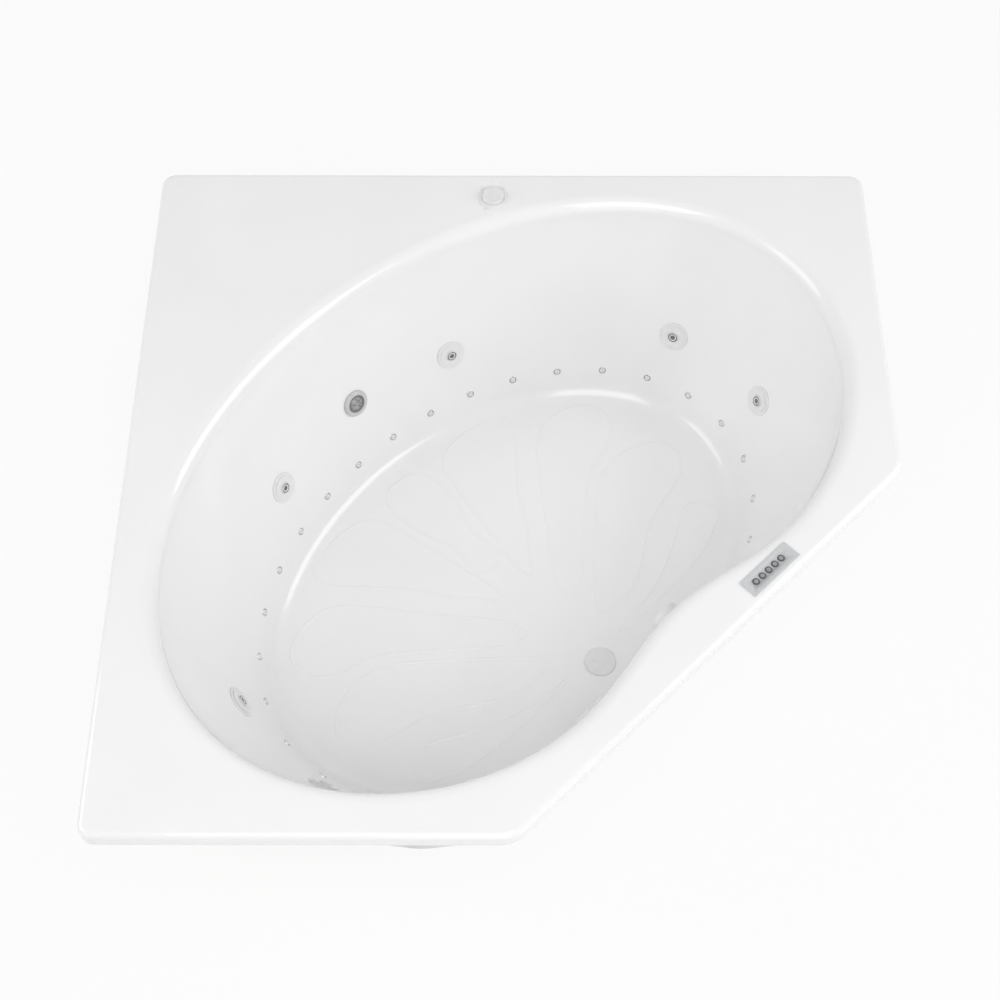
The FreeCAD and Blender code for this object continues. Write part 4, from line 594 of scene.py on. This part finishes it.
def wall_seat(degrees, depth):
    """The placement of a fitting on the wall, at the place nearest to an angle and a depth."""
    angle = math.radians(degrees)
    share = (depth - WALL_TOP) / (WALL_FOOT - WALL_TOP)
    length, width, notch, _ = wall_level(share)
    wanted = spot(*oval(length, width, notch, angle), HEIGHT - depth)
    for _ in range(SEAT_TRIES):
        here = wall_point(angle, share)
        along = (wall_point(angle + NUDGE, share) - here) / NUDGE
        down = (wall_point(angle, share + NUDGE) - here) / NUDGE
        miss = wanted - here
        aa, ad, dd = along.dot(along), along.dot(down), down.dot(down)
        whole = aa * dd - ad * ad
        angle += (miss.dot(along) * dd - miss.dot(down) * ad) / whole
        share += (miss.dot(down) * aa - miss.dot(along) * ad) / whole
    normal = along.cross(down).normalized()
    if normal.dot(Vector((here.x, here.y, 0))) > 0:
        normal = -normal
    return seat_at(here, normal)


def eased(profile):
    """Profile points (radius, height, rounding) with each rounded corner drawn as a short curve."""
    points = []
    for index, (radius, height, rounding) in enumerate(profile):
        corner = Vector((radius, height))
        if not rounding:
            points.append(corner)
            continue
        before = Vector(profile[index - 1][:2]) - corner
        after = Vector(profile[(index + 1) % len(profile)][:2]) - corner
        first = corner + before * min(rounding / before.length, CORNER_SHARE)
        last = corner + after * min(rounding / after.length, CORNER_SHARE)
        for step in range(CURVE_STEPS + 1):
            share = step / CURVE_STEPS
            points.append(first.lerp(corner, share).lerp(corner.lerp(last, share), share))
    return points


def turned(bm, profile, seat, steps, shape=None):
    """A closed profile turned about the seat's Z; shape may move a point (x, y, z) before it is placed."""
    rings = []
    for radius, height in eased(profile):
        if radius < ON_AXIS:
            places = [Vector((0, 0, height))]
        else:
            turns = [2 * math.pi * step / steps for step in range(steps)]
            places = [Vector((radius * math.cos(turn), radius * math.sin(turn), height)) for turn in turns]
        if shape:
            places = [shape(place) for place in places]
        rings.append([bm.verts.new(seat @ (place * MM)) for place in places])
    made = []
    for lower, upper in zip(rings, rings[1:] + rings[:1]):
        if len(lower) > 1 or len(upper) > 1:
            made += bridge(bm, lower, upper)
    bmesh.ops.recalc_face_normals(bm, faces=made)


def turned_piece(name, body, finish, nodes, profile, seats, steps, shape=None):
    """One piece made of the same turned shape at one or more seats."""
    bm = bmesh.new()
    for seat in seats:
        turned(bm, profile, seat, steps, shape)
    return place_piece(new_object(name, bm, FINISHES[finish]), body, finish, *nodes)


def cut(obj, cutter_profiles):
    """Takes turned shapes out of a piece."""
    bm = bmesh.new()
    for profile, seat in cutter_profiles:
        turned(bm, profile, seat, MEDIUM_STEPS)
    tool = new_object("cutter", bm, FINISHES["trim"])
    modifier = obj.modifiers.new("holes", "BOOLEAN")
    modifier.operation = "DIFFERENCE"
    modifier.solver = "MANIFOLD"
    modifier.object = tool
    bpy.context.view_layer.update()
    graph = bpy.context.evaluated_depsgraph_get()
    mesh = bpy.data.meshes.new_from_object(obj.evaluated_get(graph))
    obj.modifiers.clear()
    obj.data = mesh
    bpy.data.objects.remove(tool)


def bore(radius, low, high):
    """A plain round cutter."""
    return ((0, low, 0), (radius, low, 0), (radius, high, 0), (0, high, 0))


def injector_angles():
    """Angles on the oval at even distances, from the front on one side round the back to the other."""
    share = (INJECTOR_DEPTH - WALL_TOP) / (WALL_FOOT - WALL_TOP)
    length, width, notch, _ = wall_level(share)
    angle = BACK_ANGLE
    wanted = INJECTOR_PITCH / 2
    here = Vector(oval(length, width, notch, math.radians(angle)))
    angles = []
    while len(angles) < INJECTORS_A_SIDE:
        angle += ANGLE_STEP
        there = Vector(oval(length, width, notch, math.radians(angle)))
        wanted -= (there - here).length
        here = there
        if wanted <= 0:
            angles.append(angle)
            wanted += INJECTOR_PITCH
    return [2 * BACK_ANGLE - angle for angle in angles] + angles


JETS = [wall_seat(angle, JET_DEPTH) for angle in JET_ANGLES]
INJECTORS = [wall_seat(angle, INJECTOR_DEPTH) for angle in injector_angles()]
LIGHT = wall_seat(BACK_ANGLE, LIGHT_DEPTH)
SUCTION = wall_seat(SUCTION_ANGLE, SUCTION_DEPTH)
OVERFLOW = seat_at(wall_seat(FRONT_ANGLE, OVERFLOW_DEPTH).translation, spot(0, -1, 0).normalized())
DRAIN = seat_at(spot(0, DRAIN_V, HEIGHT - FLOOR_DEPTH - DRAIN_RECESS), UP)
CONTROL = seat_at(spot(CONTROL_U, CONTROL_V, HEIGHT), UP)
KEYPAD = seat_at(spot(KEYPAD_U, KEYPAD_V, HEIGHT), UP)

BUTTON_SEATS = []
for index in range(BUTTONS):
    along = BUTTON_MIDDLE + BUTTON_PITCH * (index - (BUTTONS - 1) / 2)
    BUTTON_SEATS.append(seat_at(spot(KEYPAD_U + along, KEYPAD_V, HEIGHT), UP))
holes = []
for radius, seats in ((JET_HOLE, JETS), (INJECTOR_HOLE, INJECTORS), (LIGHT_HOLE, [LIGHT]),
                      (SUCTION_HOLE, [SUCTION]), (OVERFLOW_HOLE, [OVERFLOW]), (DRAIN_HOLE, [DRAIN]),
                      (CONTROL_HOLE, [CONTROL]), (BUTTON_WELL, BUTTON_SEATS)):
    holes += [(bore(radius, -WALL_CUT, WALL_CUT), seat) for seat in seats]
cut(shell, holes)


def finger_dents(point):
    """Three finger dents in a jet's face."""
    near = math.inf
    for index in range(JET_DENTS):
        at = 2 * math.pi * index / JET_DENTS
        place = Vector((math.cos(at), math.sin(at))) * JET_DENT_REACH
        near = min(near, (point.xy - place).length)
    if point.z > JET_DENT_FLOOR and near < JET_DENT_RADIUS:
        sink = JET_DENT_DEPTH * math.cos(math.pi / 2 * near / JET_DENT_RADIUS) ** 2
        return Vector((point.x, point.y, point.z - sink))
    return point


turned_piece("jet_flanges", ROOT, "trim", ("jet_wall_fittings",), JET_FLANGE_PROFILE, JETS, LARGE_STEPS)
for number, seat in enumerate(JETS, 1):
    body = "jet_face_%d" % number
    turned_piece("jet_ring_%d" % number, body, "trim", (body,), JET_FACE_PROFILE, [seat], LARGE_STEPS,
                 finger_dents)
    body = "jet_nozzle_%d" % number
    turned_piece("jet_eyeball_%d" % number, body, "trim", (body,), JET_NOZZLE_PROFILE, [seat], MEDIUM_STEPS)
    # The groove ring is painted shade: near-black plastic filling the nozzle's groove
    turned_piece("jet_groove_shade_%d" % number, body, "dark_plastic", (), JET_GROOVE_SHADE_PROFILE, [seat],
                 MEDIUM_STEPS)
    turned_piece("jet_throat_%d" % number, body, "grey_plastic", (), JET_THROAT_PROFILE, [seat], SMALL_STEPS)

turned_piece("injector_rings", ROOT, "chrome", ("air_injector_rings",), INJECTOR_RING_PROFILE, INJECTORS,
             SMALL_STEPS)
turned_piece("injector_caps", ROOT, "trim", ("air_injector_caps",), INJECTOR_CAP_PROFILE, INJECTORS,
             SMALL_STEPS)
# The seams are painted shade: near-black plastic in the gap round each cap
turned_piece("injector_seam_shade", ROOT, "dark_plastic", (), INJECTOR_SEAM_SHADE_PROFILE, INJECTORS, SMALL_STEPS)
# The pores are painted shade: near-black plastic plugging the air holes
turned_piece("injector_pore_shade", ROOT, "dark_plastic", (), INJECTOR_PORE_SHADE_PROFILE, INJECTORS, TINY_STEPS)


def lens_relief(point):
    """Small raised squares over the lens."""
    if point.z < LENS_EDGE_HEIGHT:
        return point
    wave = math.cos(2 * math.pi * point.x / LENS_PITCH) * math.cos(2 * math.pi * point.y / LENS_PITCH)
    return Vector((point.x, point.y, point.z + LENS_RELIEF * wave))


turned_piece("light_rim", ROOT, "bezel", ("light_bezel",), LIGHT_BEZEL_PROFILE, [LIGHT], LARGE_STEPS)
turned_piece("light_gasket", ROOT, "grey_plastic", (), LIGHT_GASKET_PROFILE, [LIGHT], LARGE_STEPS)
lens_profile = [(0, LENS_BACK, 0), (LENS_RADIUS, LENS_BACK, 0)]
for ring in range(LENS_RINGS + 1):
    share = 1 - ring / LENS_RINGS
    lens_profile.append((LENS_RADIUS * share, LENS_TOP - LENS_RISE * share * share, 0))
turned_piece("light_glass", ROOT, "lens", ("light_lens",), lens_profile, [LIGHT], LARGE_STEPS, lens_relief)
turned_piece("drain_ring", ROOT, "trim", ("drain_flange",), DRAIN_FLANGE_PROFILE, [DRAIN], LARGE_STEPS)
turned_piece("drain_disc", "drain_stopper", "trim", ("drain_stopper",), STOPPER_PROFILE, [DRAIN],
             LARGE_STEPS)
plate = turned_piece("overflow_disc", "overflow_plate", "trim", ("overflow_plate",), OVERFLOW_PROFILE,
                     [OVERFLOW], LARGE_STEPS)
below = OVERFLOW @ Matrix.Translation(Vector((0, -OVERFLOW_RADIUS, OVERFLOW_SLOT_HEIGHT)) * MM)
below = below @ Matrix.Rotation(math.pi / 2, 4, "X")
cut(plate, [(bore(OVERFLOW_SLOT, -OVERFLOW_SLOT_REACH, OVERFLOW_SLOT_REACH), below)])


def knob_scallops(point):
    """Six finger grips round the knob's edge."""
    reach = point.xy.length
    if reach < KNOB_DISH or point.z < KNOB_SCALLOP_LOW:
        return point
    turn = math.atan2(point.y, point.x) * KNOB_SCALLOPS
    grip = max(0, math.cos(turn)) ** 3
    rise = min(1, (point.z - KNOB_SCALLOP_LOW) / (KNOB_SCALLOP_TOP - KNOB_SCALLOP_LOW))
    inward = KNOB_SCALLOP_DEPTH * grip * rise * min(1, (reach - KNOB_DISH) / KNOB_BLEND)
    scale = 1 - inward / reach
    return Vector((point.x * scale, point.y * scale, point.z))


turned_piece("knob_collar", ROOT, "trim", ("air_control_collar",), COLLAR_PROFILE, [CONTROL], LARGE_STEPS)
turned_piece("knob_cap", "air_control_knob", "trim", ("air_control_knob",), KNOB_PROFILE, [CONTROL],
             KNOB_STEPS, knob_scallops)


def suction_dome():
    """A slotted dome, as one skin that a modifier thickens."""
    bm = bmesh.new()
    rings = []
    for radius, height in COVER_PROFILE:
        turns = [2 * math.pi * step / COVER_STEPS for step in range(COVER_STEPS)]
        ring = [Vector((radius * math.cos(turn), radius * math.sin(turn), height)) for turn in turns]
        rings.append([bm.verts.new(SUCTION @ (place * MM)) for place in ring])
    rings.append([bm.verts.new(SUCTION @ (Vector((0, 0, COVER_PROFILE[-1][1])) * MM))])
    pitch = COVER_STEPS // COVER_SLOTS
    gone = []
    for level, (lower, upper) in enumerate(zip(rings, rings[1:])):
        faces = bridge(bm, lower, upper)
        if COVER_SLOT_FIRST <= level <= COVER_SLOT_LAST:
            gone += [face for index, face in enumerate(faces) if index % pitch < pitch * COVER_SLOT_SHARE]
    bmesh.ops.delete(bm, geom=gone, context="FACES")
    bmesh.ops.recalc_face_normals(bm, faces=bm.faces)
    return bm


cover = new_object("suction_dome", suction_dome(), FINISHES["trim"])
thick = cover.modifiers.new("wall", "SOLIDIFY")
thick.thickness = COVER_WALL * MM
thick.offset = -1
place_piece(cover, ROOT, "trim", "suction_cover")


def rounded_plate(length, width, corner, inset, height):
    """One ring of a plate with round corners, in millimetres."""
    ring = []
    for index, (x, y) in enumerate(((1, 1), (-1, 1), (-1, -1), (1, -1))):
        for step in range(CORNER_STEPS + 1):
            turn = math.pi / 2 * (index + step / CORNER_STEPS)
            radius = corner - inset
            middle = Vector((x * (length / 2 - corner), y * (width / 2 - corner), height))
            ring.append(middle + Vector((math.cos(turn), math.sin(turn), 0)) * radius)
    return ring


def keypad_plate():
    """A flat plate with round corners and an eased top edge."""
    bm = bmesh.new()
    rings = [[KEYPAD.translation.copy()]]
    places = [(KEYPAD_EDGE, 0.0), (0.0, 0.0), (0.0, KEYPAD_HEIGHT - KEYPAD_EDGE)]
    for step in range(1, EDGE_STEPS + 1):
        turn = math.pi / 2 * step / EDGE_STEPS
        inset = KEYPAD_EDGE * (1 - math.cos(turn))
        places.append((inset, KEYPAD_HEIGHT - KEYPAD_EDGE * (1 - math.sin(turn))))
    for inset, height in places:
        ring = rounded_plate(KEYPAD_LENGTH, KEYPAD_WIDTH, KEYPAD_CORNER, inset, height)
        rings.append([KEYPAD @ (place * MM) for place in ring])
    rings.append([KEYPAD @ Vector((0, 0, KEYPAD_HEIGHT * MM))])
    made = [[bm.verts.new(point) for point in ring] for ring in rings]
    for lower, upper in zip(made, made[1:]):
        bridge(bm, lower, upper)
    bmesh.ops.recalc_face_normals(bm, faces=bm.faces)
    return bm


plate = new_object("keypad_face", keypad_plate(), FINISHES["silver"])
cut(plate, [(bore(KEYPAD_HOLE, -WALL_CUT, WALL_CUT), seat) for seat in BUTTON_SEATS])
place_piece(plate, ROOT, "silver", "keypad_plate")
for number, seat in enumerate(BUTTON_SEATS, 1):
    body = "keypad_button_%d" % number
    turned_piece("button_%d" % number, body, "button", (body,), BUTTON_PROFILE, [seat], MEDIUM_STEPS)
    turned_piece("button_dot_%d" % number, body, "button_face", (), BUTTON_DOT_PROFILE, [seat], SMALL_STEPS)


def smooth_loop(points, step):
    """Points at even distances along a smooth closed curve through the given ones."""
    fine = []
    count = len(points)
    for index in range(count):
        a, b, c, d = (Vector(points[(index + shift) % count]) for shift in (-1, 0, 1, 2))
        for part in range(RIB_CURVE_PARTS):
            t = part / RIB_CURVE_PARTS
            fine.append(0.5 * (2 * b + (c - a) * t + (2 * a - 5 * b + 4 * c - d) * t * t
                               + (3 * b - a - 3 * c + d) * t * t * t))
    loop = [fine[0]]
    for place in fine[1:]:
        if (place - loop[-1]).length >= step:
            loop.append(place)
    return loop


def rib(bm, outline):
    """A low rounded rib along a closed outline on the floor."""
    loop = smooth_loop(outline, RIB_STEP)
    rings = []
    for index, place in enumerate(loop):
        along = (loop[(index + 1) % len(loop)] - loop[index - 1]).normalized()
        side = Vector((-along.y, along.x))
        ring = []
        for step in range(RIB_PROFILE_STEPS + 1):
            share = step / RIB_PROFILE_STEPS
            at = place + side * RIB_WIDTH * (share - 0.5)
            rise = RIB_HEIGHT * math.sin(math.pi * share) ** 2
            ring.append(bm.verts.new(spot(at.x, at.y, floor_height(at.y) + rise)))
        for share in RIB_FOOT_SHARES:
            at = place + side * RIB_WIDTH * (share - 0.5)
            ring.append(bm.verts.new(spot(at.x, at.y, floor_height(at.y) - RIB_SINK)))
        rings.append(ring)
    made = []
    for lower, upper in zip(rings, rings[1:] + rings[:1]):
        made += bridge(bm, lower, upper)
    bmesh.ops.recalc_face_normals(bm, faces=made)


def floor_ribs():
    """The leaf outlines on both sides of the bath's middle plane."""
    bm = bmesh.new()
    rib(bm, MIDDLE_LEAF + tuple((-u, v) for u, v in reversed(MIDDLE_LEAF[1:-1])))
    for leaf in SIDE_LEAVES:
        rib(bm, leaf)
        rib(bm, tuple((-u, v) for u, v in leaf))
    return bm


place_piece(new_object("floor_ribs", floor_ribs(), FINISHES["acrylic"]), ROOT, "acrylic")

# The pieces behind the shell keep their CAD shapes and take the finish of their slot
for row in frame["record"]["subparts"]:
    node = frame["nodes"][row["node"]]
    node.data.materials.clear()
    node.data.materials.append(FINISHES[row["material_slot"]])


def camera():
    """The photograph's own view, worked out from the deck's edges."""
    level = Vector((math.sin(CAMERA_YAW), math.cos(CAMERA_YAW), 0))
    forward = level * math.cos(CAMERA_PITCH) - UP * math.sin(CAMERA_PITCH)
    right = Vector((math.cos(CAMERA_YAW), -math.sin(CAMERA_YAW), 0))
    down = forward.cross(right)
    across = right * math.cos(CAMERA_ROLL) + down * math.sin(CAMERA_ROLL)
    below = down * math.cos(CAMERA_ROLL) - right * math.sin(CAMERA_ROLL)
    data = bpy.data.cameras.new("camera")
    data.lens = FOCAL_MM
    data.sensor_width = SENSOR_MM
    data.clip_end = CAMERA_FAR
    obj = bpy.data.objects.new("camera", data)
    bpy.context.scene.collection.objects.link(obj)
    turn = Matrix((across, -below, -forward)).transposed().to_4x4()
    obj.matrix_world = Matrix.Translation(CAMERA_PLACE) @ turn
    bpy.context.scene.camera = obj


def seen_rays(tree):
    """A value that is one for rays that show the surroundings: straight, in gloss and through glass."""
    path = tree.nodes.new("ShaderNodeLightPath")
    value = path.outputs["Is Camera Ray"]
    for output in ("Is Glossy Ray", "Is Transmission Ray"):
        larger = tree.nodes.new("ShaderNodeMath")
        larger.operation = "MAXIMUM"
        tree.links.new(value, larger.inputs[0])
        tree.links.new(path.outputs[output], larger.inputs[1])
        value = larger.outputs["Value"]
    return value


def world():
    """White to the camera and in reflections, a plain soft level as light."""
    made = bpy.data.worlds.new("studio")
    made.use_nodes = True
    nodes = made.node_tree.nodes
    links = made.node_tree.links
    light = nodes["Background"]
    light.inputs["Color"].default_value = (1, 1, 1, 1)
    light.inputs["Strength"].default_value = WORLD_LIGHT
    seen = nodes.new("ShaderNodeBackground")
    seen.inputs["Color"].default_value = (1, 1, 1, 1)
    seen.inputs["Strength"].default_value = 1.0
    mix = nodes.new("ShaderNodeMixShader")
    links.new(seen_rays(made.node_tree), mix.inputs[0])
    links.new(light.outputs["Background"], mix.inputs[1])
    links.new(seen.outputs["Background"], mix.inputs[2])
    links.new(mix.outputs["Shader"], nodes["World Output"].inputs["Surface"])
    bpy.context.scene.world = made


def softbox(name, place, size, power):
    """A square soft lamp."""
    data = bpy.data.lights.new(name, "AREA")
    data.shape = "SQUARE"
    data.size = size
    data.energy = power
    obj = bpy.data.objects.new(name, data)
    bpy.context.scene.collection.objects.link(obj)
    obj.location = place
    obj.rotation_euler = (LAMP_AIM - Vector(place)).to_track_quat("-Z", "Y").to_euler()


def ground():
    """A pale floor that keeps the shadow faintly."""
    bm = bmesh.new()
    bmesh.ops.create_grid(bm, x_segments=1, y_segments=1, size=GROUND_HALF)
    mesh = bpy.data.meshes.new("ground")
    bm.to_mesh(mesh)
    bm.free()
    made = bpy.data.materials.new("ground")
    made.use_nodes = True
    nodes = made.node_tree.nodes
    links = made.node_tree.links
    shader = nodes["Principled BSDF"]
    shader.inputs["Base Color"].default_value = GROUND_COLOUR
    shader.inputs["Roughness"].default_value = GROUND_ROUGHNESS
    glow = nodes.new("ShaderNodeEmission")
    glow.inputs["Strength"].default_value = 1.0
    part = nodes.new("ShaderNodeMath")
    part.operation = "MULTIPLY"
    part.inputs[1].default_value = GROUND_GLOW_SHARE
    links.new(seen_rays(made.node_tree), part.inputs[0])
    mix = nodes.new("ShaderNodeMixShader")
    links.new(part.outputs["Value"], mix.inputs[0])
    links.new(shader.outputs["BSDF"], mix.inputs[1])
    links.new(glow.outputs["Emission"], mix.inputs[2])
    links.new(mix.outputs["Shader"], nodes["Material Output"].inputs["Surface"])
    obj = bpy.data.objects.new("ground", mesh)
    obj.data.materials.append(made)
    bpy.context.scene.collection.objects.link(obj)


camera()
world()
ground()
for lamp in LAMPS:
    softbox(*lamp)
bpy.context.scene.view_settings.view_transform = "Standard"
